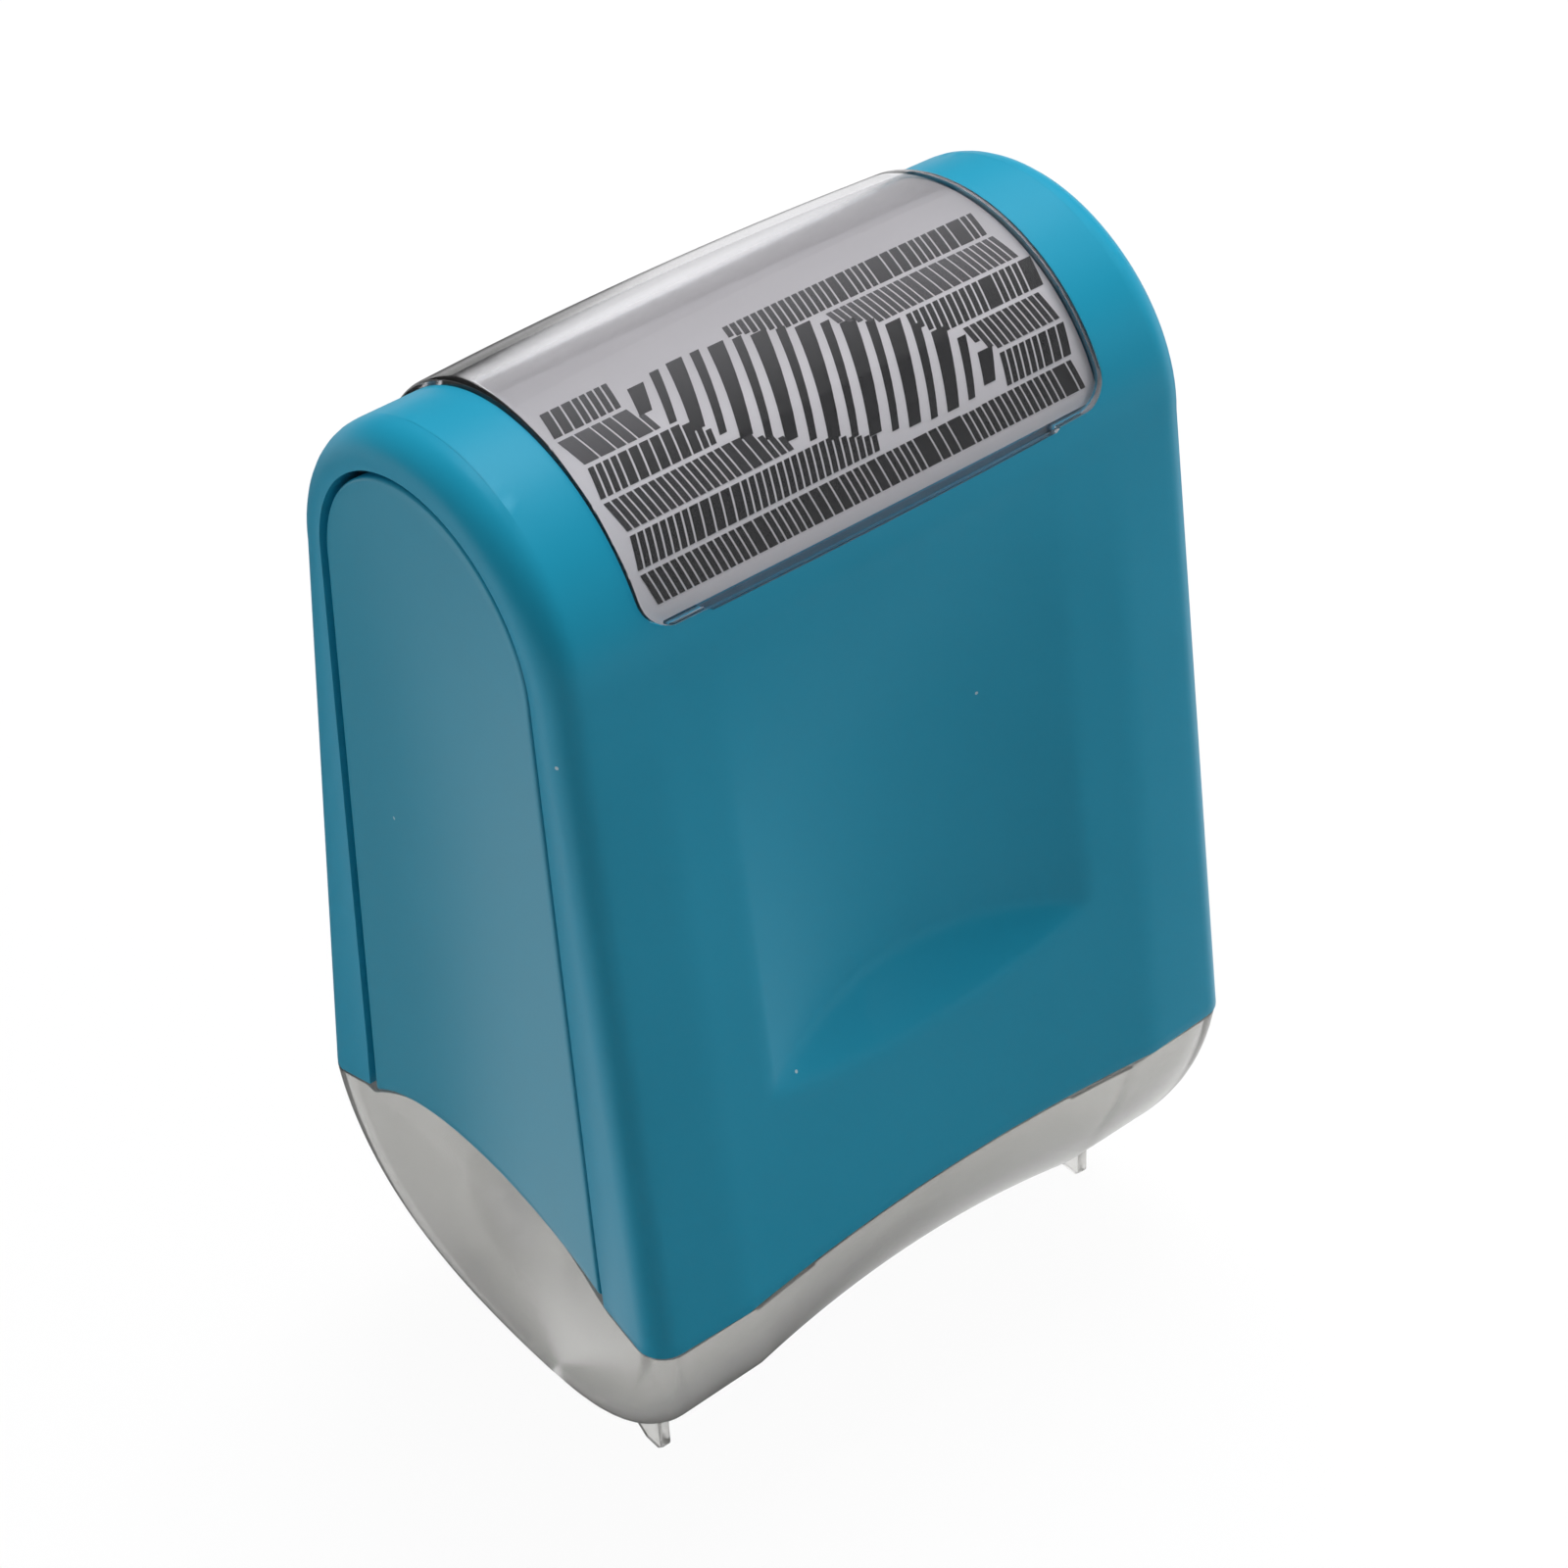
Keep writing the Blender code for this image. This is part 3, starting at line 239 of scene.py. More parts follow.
die_outline = face_bands(DIE_HALF, DIE_RADIUS - DIE_RELIEF, DIE_BANDS)
die_outline += [(-DIE_HALF, CORE_RADIUS + FIT_GAP), (DIE_HALF, CORE_RADIUS + FIT_GAP)]
die = lathe("die_band", die_outline, 0, DRUM_Z, steps=DIE_STEPS, edge=0)
chance = random.Random(SEED)
pick(die)
bpy.ops.object.mode_set(mode="EDIT")
bpy.ops.mesh.select_mode(type="FACE")
bpy.ops.mesh.select_all(action="DESELECT")
bpy.ops.object.mode_set(mode="OBJECT")
raised = {}
for row in range(DIE_STEPS // DIE_ROW):
    for band in range(1, DIE_BANDS - 1):
        raised[row, band] = chance.random() < DIE_BLOCK_SHARE
for face in die.data.polygons:
    middle = Vector(face.center)
    out = (middle.y ** 2 + (middle.z - DRUM_Z) ** 2) ** 0.5
    turn = atan2(middle.z - DRUM_Z, middle.y) % (2 * pi)
    step = int(turn / (2 * pi) * DIE_STEPS)
    band = int((DIE_HALF - middle.x) / (2 * DIE_HALF) * DIE_BANDS)
    outside = out > DIE_RADIUS - DIE_RELIEF - FIT_GAP
    gap = step % DIE_ROW == DIE_ROW - 1
    face.select = outside and not gap and raised.get((step // DIE_ROW, band), False)
bpy.ops.object.mode_set(mode="EDIT")
bpy.ops.mesh.inset(thickness=DIE_BLOCK_EDGE, depth=DIE_RELIEF, use_even_offset=True)
bpy.ops.object.mode_set(mode="OBJECT")
smooth(die, angle=25)
die_rubber = plastic("die_rubber", DIE_GREY, spread=0.06, grain=160, roughness=0.7, bump=0.3,
                     bump_scale=5000)
dress(die, die_rubber)
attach(die, "drum")
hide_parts("rubber_die")

# Grip rings and bushes
# Two rubber rings roll on the paper and turn the drum, and two plain bushes pressed
# into its hub run on the steel pin.
GRIP_RADIUS = 12.9 * MM
GRIP_IN_X = 19.4 * MM
GRIP_OUT_X = 20.8 * MM
BUSH_RADIUS = 2.7 * MM
BUSH_LENGTH = 6.0 * MM
BUSH_BORE = 1.58 * MM
BUSH_WHITE = (0.66, 0.66, 0.63)
SMALL_STEPS = 48


def ring_outline(low, high, inner, outer):
    return [(high, outer), (low, outer), (low, inner), (high, inner)]


bush_plastic = plastic("bush_plastic", BUSH_WHITE, spread=0.04, grain=200, roughness=0.35, bump=0.1)
for side, word in ((-1, "left"), (1, "right")):
    low, high = sorted((side * GRIP_IN_X, side * GRIP_OUT_X))
    tyre_outline = ring_outline(low, high, CORE_RADIUS + FIT_GAP, GRIP_RADIUS)
    ring = dress(lathe(f"{word}_grip_tyre", tyre_outline, 0, DRUM_Z), die_rubber)
    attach(ring, "drum")
    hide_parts(f"{word}_grip_ring")
    low, high = sorted((side * HUB_HALF, side * (HUB_HALF - BUSH_LENGTH)))
    bush_outline = ring_outline(low, high, BUSH_BORE, BUSH_RADIUS)
    bush = lathe(f"{word}_bush_turning", bush_outline, 0, DRUM_Z, SMALL_STEPS)
    dress(bush, bush_plastic)
    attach(bush, "drum")
    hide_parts(f"{word}_drum_bush")

# Ink roller
# A flanged white spool that carries a sleeve of black absorbent felt, soaked in ink. It
# presses on the die from above and turns with it.
INK_Z = 40.75 * MM
INK_HALF = 18.4 * MM
INK_RADIUS = 8.5 * MM
INK_CORE_RADIUS = 4.6 * MM
FLANGE_IN = 18.5 * MM
FLANGE_OUT = 19.5 * MM
FLANGE_RADIUS = 7.2 * MM
INK_HUB_RADIUS = 3.0 * MM
FELT_BANDS = 80
FELT_SUNK = 0.1 * MM
FELT_FUZZ = (-0.08, 0.1)
FELT_BLACK = (0.022, 0.022, 0.028)

half = [(HUB_HALF, INK_HUB_RADIUS), (FLANGE_OUT, INK_HUB_RADIUS), (FLANGE_OUT, FLANGE_RADIUS),
        (FLANGE_IN, FLANGE_RADIUS), (FLANGE_IN, INK_CORE_RADIUS)]
spool_outline = half + [(-x, radius) for x, radius in reversed(half)]
spool_outline += [(-HUB_HALF, BUSH_BORE), (HUB_HALF, BUSH_BORE)]
spool = dress(lathe("ink_spool", spool_outline, 0, INK_Z), white_plastic)
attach(spool, "ink_roller")
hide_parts("ink_core")

felt_outline = face_bands(INK_HALF, INK_RADIUS - FELT_SUNK, FELT_BANDS)
felt_outline += [(-INK_HALF, INK_CORE_RADIUS + FIT_GAP), (INK_HALF, INK_CORE_RADIUS + FIT_GAP)]
felt = lathe("ink_felt", felt_outline, 0, INK_Z, edge=0)
for vertex in felt.data.vertices:
    out = Vector((0, vertex.co.y, vertex.co.z - INK_Z))
    if out.length > INK_RADIUS - FELT_SUNK - FIT_GAP and abs(vertex.co.x) < INK_HALF - FIT_GAP:
        vertex.co += out.normalized() * chance.uniform(*FELT_FUZZ) * MM
smooth(felt, angle=60)
dress(felt, plastic("ink_felt", FELT_BLACK, spread=0.5, grain=900, roughness=0.9, bump=1.0,
                    bump_scale=6000, specular=0.25))
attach(felt, "ink_roller")
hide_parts("ink_sleeve")

# Pins and clips
# Two plain steel pins with chamfered ends carry the rollers. A pressed steel clip on
# each end holds its pin in the side plates.
PIN_HALF = 25.9 * MM
PIN_RADIUS = 1.5 * MM
PIN_CHAMFER = 0.3 * MM
CLIP_IN_X = 24.7 * MM
CLIP_OUT_X = 25.2 * MM
CLIP_RADIUS = 3.0 * MM
CLIP_EDGE = 0.08 * MM
STEEL_DARK = (0.50, 0.50, 0.51, 1)
STEEL_LIGHT = (0.68, 0.68, 0.70, 1)
STEEL_GLOSS = (0.22, 0.38)
DRAWN_SCALE = (40, 1500, 1500)

steel = new_finish("pin_steel")
steel_tree = steel.node_tree
steel_place = add_node(steel_tree, "ShaderNodeTexCoord", {}).outputs["Object"]
drawn = add_node(steel_tree, "ShaderNodeMapping", {"Vector": steel_place, "Scale": DRAWN_SCALE})
streaks = noise(steel_tree, drawn.outputs["Vector"], scale=1.0, detail=3.0)
feed(steel_tree, steel_tree.nodes["Principled BSDF"], {
    "Metallic": 1.0, "Base Color": blend(steel_tree, streaks, STEEL_DARK, STEEL_LIGHT),
    "Roughness": ramp(steel_tree, streaks, result=STEEL_GLOSS),
})

for word, z in (("drum", DRUM_Z), ("ink", INK_Z)):
    deselect()
    bpy.ops.mesh.primitive_cylinder_add(vertices=SMALL_STEPS, radius=PIN_RADIUS, depth=2 * PIN_HALF,
                                        location=(0, 0, z), rotation=(0, pi / 2, 0))
    pin = start_piece(f"{word}_pin")
    round_edges(pin, PIN_CHAMFER, segments=1)
    smooth(pin)
    dress(pin, steel)
    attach(pin, "cartridge")
    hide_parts(f"{word}_axle")
    for side, hand in ((-1, "left"), (1, "right")):
        node = f"{hand}_axle_clip" if word == "drum" else f"{hand}_ink_clip"
        low, high = sorted((side * CLIP_IN_X, side * CLIP_OUT_X))
        clip_outline = ring_outline(low, high, PIN_RADIUS + FIT_GAP, CLIP_RADIUS)
        clip = lathe(f"{hand}_{word}_pin_clip", clip_outline, 0, z, SMALL_STEPS, CLIP_EDGE)
        dress(clip, steel)
        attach(clip, "cartridge")
        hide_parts(node)

# Side plates, bridge and tie bars
# The inner unit's frame in plain white plastic: two plates that hold the pins, a bridge
# with a finger tab tongued into them, and two round bars that keep them apart.
for node in ("left_side_plate", "right_side_plate", "top_bridge"):
    dress(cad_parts[node], white_plastic)

TIE_Z = 50.0 * MM
TIE_RADIUS = 1.8 * MM
TIE_NECK = 1.2 * MM
TIE_BORE = 0.02 * MM
TIE_SHOULDER = 22.3 * MM
TIE_EDGE = 0.15 * MM
for word in ("front", "rear"):
    low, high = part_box(f"{word}_tie_bar")
    bar_outline = [
        (high.x, TIE_BORE), (high.x, TIE_NECK), (TIE_SHOULDER, TIE_NECK),
        (TIE_SHOULDER, TIE_RADIUS), (-TIE_SHOULDER, TIE_RADIUS),
        (-TIE_SHOULDER, TIE_NECK), (low.x, TIE_NECK), (low.x, TIE_BORE),
    ]
    bar = lathe(f"{word}_tie_rod", bar_outline, (low.y + high.y) / 2, TIE_Z, SMALL_STEPS, TIE_EDGE)
    dress(bar, white_plastic)
    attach(bar, "cartridge")
    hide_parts(f"{word}_tie_bar")

# Case
# One satin teal moulding: a front and a back that lean in to a round arch on top, open
# at both ends and below. The front and back are hollowed between two soft ridges and
# have a dish for the thumb, and a shallow seat for the window is let into the arch.
SEAM_Z = 22.0 * MM
SEAM_BACK_Z = 22.7 * MM
ARCH_Z = 75.0 * MM
TOP_Z = 89.4 * MM
WIDTH_LOW = 57.0 * MM
WIDTH_HIGH = 54.8 * MM
DEPTH_LOW = 42.2 * MM
DEPTH_HIGH = 30.1 * MM
CASE_WALL = 2.2 * MM
CORNER_LOW = 2.2 * MM
CORNER_HIGH = 2.6 * MM
TOP_CROWN = 0.25 * MM
RIM_LOW = 6.3 * MM
RIM_HIGH = 3.1 * MM
RIM_LIFT = 1.3 * MM
RIDGE_X = 20.3 * MM
RIDGE_PROUD = 0.2 * MM
HOLLOW_DEPTH = 1.36 * MM
HOLLOW_FADE = (60.0 * MM, 78.0 * MM)
DISH_X = 15.2 * MM
DISH_DEPTH = 3.0 * MM
DISH_TOP_Z = 77.0 * MM
DISH_DEEP_Z = 41.5 * MM
DISH_LOW_Z = 35.2 * MM
DISH_DEEP_DROP = 2.3 * MM
DISH_LOW_LIFT = 3.0 * MM
CASE_EDGE = 0.22 * MM
CASE_TEAL = (0.014, 0.345, 0.535)
DUST_COLOUR = (0.55, 0.72, 0.78, 1)
DUST_CELLS = 260
DUST_SIZE = 0.035
DUST_PATCHES = 190
DUST_RARITY = 0.66
DISH_STEPS = 24
RIDGE_STEPS = 6
RIDGE_OUT = 5.7 * MM
RIDGE_SHARES = (0, 0.2, 0.4, 0.6, 0.8)
SCOOP = (33.0 * MM, 44.0 * MM)
WALL_STEPS = (12, 26, 32)
ARCH_STEPS = 56
CORNER_STEPS = 8


def smooth_step(value, low, high):
    share = min(max((value - low) / (high - low), 0), 1)
    return share * share * (3 - 2 * share)


def half_depth(z):
    return (DEPTH_LOW + (DEPTH_HIGH - DEPTH_LOW) * (z - SEAM_Z) / (ARCH_Z - SEAM_Z)) / 2


def half_width(z):
    return (WIDTH_LOW + (WIDTH_HIGH - WIDTH_LOW) * (z - SEAM_Z) / (TOP_Z - SEAM_Z)) / 2


def rim_width(z):
    return RIM_LOW + (RIM_HIGH - RIM_LOW) * min((z - SEAM_Z) / (ARCH_Z - SEAM_Z), 1)


def corner(z):
    return CORNER_LOW + (CORNER_HIGH - CORNER_LOW) * smooth_step(z, ARCH_Z, TOP_Z)


def outline_point(place, inset):
    """(y, z) of a place on the outline, ('wall', side, z) or ('arch', angle), moved in by inset."""
    if place[0] == "wall":
        return place[1] * (half_depth(place[2]) - inset), place[2]
    angle = place[1]
    return (DEPTH_HIGH / 2 - inset) * cos(angle), ARCH_Z + (TOP_Z - ARCH_Z - inset) * sin(angle)


def dish(x, z):
    """Depth of the thumb dish: a long slope from the top and a short scoop at the bottom."""
    across = min(abs(x) / DISH_X, 1)
    low = DISH_LOW_Z + DISH_LOW_LIFT * across ** 2
    deep = DISH_DEEP_Z - DISH_DEEP_DROP * across ** 2
    if across >= 1 or z <= low or z >= DISH_TOP_Z:
        return 0
    down = smooth_step(z, low, deep) if z < deep else (DISH_TOP_Z - z) / (DISH_TOP_Z - deep)
    return DISH_DEPTH * down * (1 - across ** 2)


def face_relief(x, z):
    """How far the front or back is sunk at x, z, between and outside its ridges."""
    edge = half_width(z) - corner(z)
    if abs(x) < RIDGE_X:
        sunk = HOLLOW_DEPTH * (1 - (x / RIDGE_X) ** 2) - RIDGE_PROUD
    else:
        sunk = -RIDGE_PROUD * max(edge - abs(x), 0) / (edge - RIDGE_X)
    return (1 - smooth_step(z, *HOLLOW_FADE)) * sunk + dish(x, z)


def case_point(place, column, wall):
    """A point of the case's outside (wall 0) or inside, at a place on its outline and a column."""
    z = outline_point(place, 0)[1]
    low = TOP_CROWN * sin(place[1]) * (2 / WIDTH_HIGH) ** 2 if place[0] == "arch" else 0
    if column[0] == "face":
        x = column[1]
        return x, *outline_point(place, face_relief(x, z) + wall + low * x ** 2)
    side, value = column[1:]
    turned = max(corner(z) - wall, FIT_GAP)
    if column[0] == "round":
        x = half_width(z) - wall - turned * (1 - sin(value))
        return side * x, *outline_point(place, wall + turned * (1 - cos(value)) + low * x ** 2)
    start = wall + turned + low * half_width(z) ** 2
    y, z = outline_point(place, start + (rim_width(z) - start) * value)
    if place[0] == "wall":
        seam = SEAM_Z if place[1] < 0 else SEAM_BACK_Z
        z += RIM_LIFT * value * (1 - smooth_step(z, seam, seam + RIM_LOW))
    return side * (half_width(z) - wall), y, z


def skin(name, rows, columns, place):
    """A sheet from a grid primitive, with a row of points for each of rows, placed one by one."""
    deselect()
    bpy.ops.mesh.primitive_grid_add(x_subdivisions=len(columns) - 1, y_subdivisions=len(rows) - 1,
                                    size=1.0)
    piece = start_piece(name)
    for index, vertex in enumerate(piece.data.vertices):
        vertex.co = place(rows[index // len(columns)], columns[index % len(columns)])
    bpy.ops.object.mode_set(mode="EDIT")
    bpy.ops.mesh.select_all(action="SELECT")
    bpy.ops.mesh.remove_doubles(threshold=WELD)
    bpy.ops.object.mode_set(mode="OBJECT")
    return piece


def closed_sheet(upper, lower):
    """Joins two sheets of the same grid, edge to edge, into one closed body."""
    pick(upper, lower)
    bpy.ops.object.join()
    bpy.ops.object.mode_set(mode="EDIT")
    bpy.ops.mesh.select_mode(type="EDGE")
    bpy.ops.mesh.select_all(action="DESELECT")
    bpy.ops.mesh.select_non_manifold()
    bpy.ops.mesh.bridge_edge_loops()
    bpy.ops.mesh.select_all(action="SELECT")
    bpy.ops.mesh.normals_make_consistent(inside=False)
    bpy.ops.object.mode_set(mode="OBJECT")
    return upper


def combine(piece, other, operation):
    """Adds another body to the piece or cuts it away, and removes that other body."""
    apply_step(piece, "BOOLEAN", operation=operation, object=other, solver="EXACT")
    bpy.data.objects.remove(other, do_unlink=True)


def spaced(low, high, count):
    """Places from low towards high, without high itself."""
    return [low + (high - low) * i / count for i in range(count)]


def both_sides(right):
    """Columns from the left rim to the right rim, from those on the right."""
    left = [(kind, -rest[0], *rest[1:]) for kind, *rest in reversed(right)]
    return left + [("face", 0.0)] + right


def wall_heights(seam):
    below, across, above = WALL_STEPS
    return spaced(seam, SCOOP[0], below) + spaced(*SCOOP, across) + spaced(SCOOP[1], ARCH_Z, above)


case_hollow = spaced(0, DISH_X, DISH_STEPS)[1:] + spaced(DISH_X, RIDGE_X, RIDGE_STEPS)
case_right = [("face", x) for x in case_hollow]
case_right += [("face", RIDGE_X + share * RIDGE_OUT) for share in RIDGE_SHARES]
case_right += [("round", 1, pi / 2 * i / CORNER_STEPS) for i in range(CORNER_STEPS + 1)]
case_right += [("rim", 1, 1.0)]
case_rows = [("wall", -1, z) for z in wall_heights(SEAM_Z)]
case_rows += [("arch", pi - pi * i / ARCH_STEPS) for i in range(ARCH_STEPS + 1)]
case_rows += [("wall", 1, z) for z in reversed(wall_heights(SEAM_BACK_Z))]
case_columns = both_sides(case_right)
outer = skin("case_moulding", case_rows, case_columns,
             lambda place, column: case_point(place, column, 0))
inner = skin("case_inside", case_rows, case_columns,
             lambda place, column: case_point(place, column, CASE_WALL))
case = closed_sheet(outer, inner)
round_edges(case, CASE_EDGE, segments=2, angle=60)

# The window's seat is cut by a fitted block, made as the window is, a little larger.
WINDOW_X = 20.0 * MM
WINDOW_LOW_Z = 78.9 * MM
WINDOW_CORNER = 2.4 * MM
WINDOW_FIT = 0.06 * MM
LIP_X = 15.0 * MM
LIP_STEP = 0.3 * MM
LIP_DROP = 0.25 * MM
SEAT_DEPTH = 1.6 * MM
SEAT_TOP = 4.0 * MM
PLAN_STEPS = 10
LIP_STEPS = 12
OVER_STEPS = 61
ARCH_SKIN_EDGE = (0.7, 0.45, 0.25, 0.12, 0.04, 0.0)
ARCH_RADIUS = TOP_Z - ARCH_Z


def over_arch(turn, offset, x):
    """A point over the arch: its angle from the back springing, its offset from the face, and x."""
    return x, (DEPTH_HIGH / 2 + offset) * cos(turn), ARCH_Z + (ARCH_RADIUS + offset) * sin(turn)


def arch_skin(name, half, low_z, plan_round, lip, grow, top):
    """A sheet over the arch, rounded in plan and grown all round.

    top gives its offset at x and a distance from its edge.
    """
    start = asin((low_z - ARCH_Z) / ARCH_RADIUS) - grow / ARCH_RADIUS
    half, plan_round, lip_end = half + grow, plan_round + grow, LIP_X + grow
    span = (pi - 2 * start) * ARCH_RADIUS
    ends = [plan_round * (1 - cos(pi / 2 * i / PLAN_STEPS)) for i in range(PLAN_STEPS + 1)]
    rows = ends + spaced(plan_round, span - plan_round, OVER_STEPS)[1:]
    rows += [span - along for along in reversed(ends)]

    def place(along, column):
        near = min(along, span - along)
        pull = max(plan_round - near, 0)
        reach = half - plan_round + sqrt(max(plan_round ** 2 - pull ** 2, 0))
        side, value = column[1:]
        x = side * (reach - value if column[0] == "edge" else value)
        drop = lip / ARCH_RADIUS if near == 0 and abs(x) <= lip_end + WELD else 0
        turn = start + near / ARCH_RADIUS - drop
        offset = top(x, min(reach - abs(x), near))
        return over_arch(pi - turn if along < span / 2 else turn, offset, x)

    inner = spaced(0, lip_end, LIP_STEPS)[1:] + [lip_end, lip_end + LIP_STEP]
    right = [("inner", 1, x) for x in inner]
    right += [("edge", 1, value * MM) for value in ARCH_SKIN_EDGE]
    left = [(kind, -1, value) for kind, side, value in reversed(right)]
    return skin(name, rows, left + [("inner", 1, 0.0)] + right, place)


seat_size = (WINDOW_X, WINDOW_LOW_Z, WINDOW_CORNER, LIP_DROP, WINDOW_FIT)
seat_top = arch_skin("seat_top", *seat_size, lambda x, edge: SEAT_TOP)
seat_floor = arch_skin("seat_floor", *seat_size, lambda x, edge: -SEAT_DEPTH)
combine(case, closed_sheet(seat_top, seat_floor), "DIFFERENCE")
smooth(case)


def tint_over(made, share, colour):
    """Blends a finish's colour towards another one by a share from 0 to 1."""
    tree = made.node_tree
    shader = tree.nodes["Principled BSDF"]
    under = shader.inputs["Base Color"].links[0].from_socket
    feed(tree, shader, {"Base Color": blend(tree, share, under, colour)})
    return made


def maths(tree, operation, *terms):
    feeds = dict(enumerate(terms))
    return add_node(tree, "ShaderNodeMath", feeds, operation=operation).outputs["Value"]


def teal_plastic(name, colour, roughness, specular):
    """Satin moulded plastic with a faint mottle and a few specks of pale dust."""
    made = plastic(name, colour, spread=0.045, grain=70, roughness=roughness, bump=0.14,
                   bump_scale=2600, specular=specular)
    tree = made.node_tree
    place = add_node(tree, "ShaderNodeTexCoord", {}).outputs["Object"]
    cells = add_node(tree, "ShaderNodeTexVoronoi", {"Vector": place, "Scale": DUST_CELLS})
    small = maths(tree, "LESS_THAN", cells.outputs["Distance"], DUST_SIZE)
    few = maths(tree, "GREATER_THAN", noise(tree, place, DUST_PATCHES), DUST_RARITY)
    return tint_over(made, maths(tree, "MULTIPLY", small, few), DUST_COLOUR)


dress(case, teal_plastic("case_teal", CASE_TEAL, roughness=0.38, specular=0.4))
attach(case, "case")
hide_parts("outer_case")

# Sample card
# A stiff off-white card lies in the seat, curved to the arch. Its front half shows rows
# of black marks and one large slatted figure, and its back half is bare.
CARD_X = 19.8 * MM
CARD_LOW_Z = 79.05 * MM
CARD_ROUND = 1.0 * MM
CARD_SUNK = 1.05 * MM
CARD_THICK = 0.3 * MM
CARD_WHITE = (0.82, 0.815, 0.805)
# Painted shade: the colour the card is painted towards the rear, and where that ramp begins and
# ends.
CARD_PAINTED_SHADE = (0.56, 0.55, 0.545, 1)
CARD_PAINTED_SHADE_REACH = (-7.0 * MM, 2.0 * MM)

card_size = (CARD_X, CARD_LOW_Z, CARD_ROUND, 0, 0)
card_face = arch_skin("printed_card", *card_size, lambda x, edge: -CARD_SUNK)
card_back = arch_skin("card_back", *card_size, lambda x, edge: -CARD_SUNK - CARD_THICK)
card = closed_sheet(card_face, card_back)
smooth(card)


def fade_along(made, axis, reach, far):
    """Blends a finish's colour towards another one, between two places along an axis."""
    tree = made.node_tree
    place = add_node(tree, "ShaderNodeTexCoord", {}).outputs["Object"]
    split = add_node(tree, "ShaderNodeSeparateXYZ", {"Vector": place})
    return tint_over(made, ramp(tree, split.outputs[axis], reach), far)


card_stock = plastic("card_stock", CARD_WHITE, spread=0.03, grain=300, roughness=0.8, bump=0.35,
                     bump_scale=7000, specular=0.1)
# The card's colour is painted darker towards the rear, over the ridge: a painted shade.
dress(card, fade_along(card_stock, "Y", CARD_PAINTED_SHADE_REACH, CARD_PAINTED_SHADE))
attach(card, "case")
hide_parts("sample_card")

# Print on the card
# Ink marks that lie on the card, all copied from one short strip that follows the arch:
# rows of leaning bars, and across them a long lens of large slats with a clear edge.
INK_PROUD = 0.03 * MM
INK_THICK = 0.06 * MM
INK_LOW_TURN = pi - asin((CARD_LOW_Z - ARCH_Z) / ARCH_RADIUS)
PRINT_HALF = 18.7 * MM
ROW_PITCH = 2.62 * MM
MARK_HEIGHT = 2.28 * MM
SHORTEST_MARK = 0.9 * MM
ROWS = 6
LIGHT_ROWS = (2, 4)
ROW_LEAN = 0.5 * MM
BAR_WIDTHS = {"thin": 0.42 * MM, "broad": 0.68 * MM, "block": 1.15 * MM}
BAR_GAP = 0.17 * MM
RUNS = (("thin", 3), ("broad", 2), ("thin", 4), ("broad", 3), ("thin", 5), ("block", 1))
FIRST_ROW = 1.2 * MM
LENS_HALF = 12.6 * MM
LENS_RISE = 4.1 * MM
LENS_MIDDLE = 9.95 * MM
LENS_SLOPE = -0.36
LENS_MARGIN = 0.5 * MM
LENS_POWER = 0.6
SLATS = 17
SLAT_LEAN = 1.5 * MM
SLAT_SHARES = (0.80, 0.46)
SLAT_TAPER = (0.85, 1.1)
PRINT_SHEEN_REACH = (86.0 * MM, 89.2 * MM)
# Each ink: its name, its colour, and the paler colour painted towards the ridge as a painted sheen.
PRINT_INKS = (
    ("dark", (0.004, 0.004, 0.005), (0.09, 0.09, 0.092, 1)),
    ("light", (0.035, 0.035, 0.036), (0.20, 0.20, 0.203, 1)),
)

deselect()
bpy.ops.mesh.primitive_grid_add(x_subdivisions=1, y_subdivisions=5, size=1.0)
strip = start_piece("ink_strip")


def on_card(x, along):
    """The point of the card at x, so far up the arch from its front edge."""
    return over_arch(INK_LOW_TURN - along / ARCH_RADIUS, INK_PROUD - CARD_SUNK, x)


def mark(name, low, high, width_low, width_high):
    """One inked strip from low to high, each (x, along), with its own widths at its two ends."""
    made = strip.copy()
    made.data = strip.data.copy()
    made.name = name
    bpy.context.collection.objects.link(made)
    run = Vector((high[0] - low[0], high[1] - low[1]))
    for vertex in made.data.vertices:
        share, side = vertex.co.y + 0.5, vertex.co.x
        reach = (width_low + (width_high - width_low) * share) * side
        vertex.co = on_card(low[0] + run.x * share + reach, low[1] + run.y * share)
    return made


def lens_edge(x, margin):
    """Lower and upper edge of the lens at x, or None outside it."""
    share = x / (LENS_HALF + margin)
    if abs(share) >= 1:
        return None
    middle = LENS_MIDDLE + LENS_SLOPE * x
    rise = LENS_RISE * (1 - share ** 2) ** LENS_POWER + margin
    return middle - rise, middle + rise


def clear_parts(x, low, high):
    """What is left of low to high at x, outside the lens and its margin."""
    edges = lens_edge(x, LENS_MARGIN)
    parts = [(low, high)]
    if edges is not None:
        parts = [(low, min(high, edges[0])), (max(low, edges[1]), high)]
    return [(a, b) for a, b in parts if b - a > SHORTEST_MARK]


inks = {"dark": [], "light": []}
for row in range(ROWS):
    low = FIRST_ROW + row * ROW_PITCH
    high = low + MARK_HEIGHT
    ink = "light" if row in LIGHT_ROWS else "dark"
    lean = ROW_LEAN * (1 if row % 2 else -1)
    x = -PRINT_HALF + ROW_LEAN / 2
    kind, left = chance.choice(RUNS)
    while x < PRINT_HALF - ROW_LEAN / 2:
        if clear_parts(x, low, high) != [(low, high)]:
            kind = "thin"
        width = BAR_WIDTHS[kind]
        middle = x + width / 2
        for part in clear_parts(middle, low, high):
            ends = [(middle + lean * ((along - low) / MARK_HEIGHT - 0.5), along) for along in part]
            inks[ink].append(mark("bar", *ends, width, width))
        x += width + BAR_GAP
        left -= 1
        if not left:
            kind, left = chance.choice(RUNS)
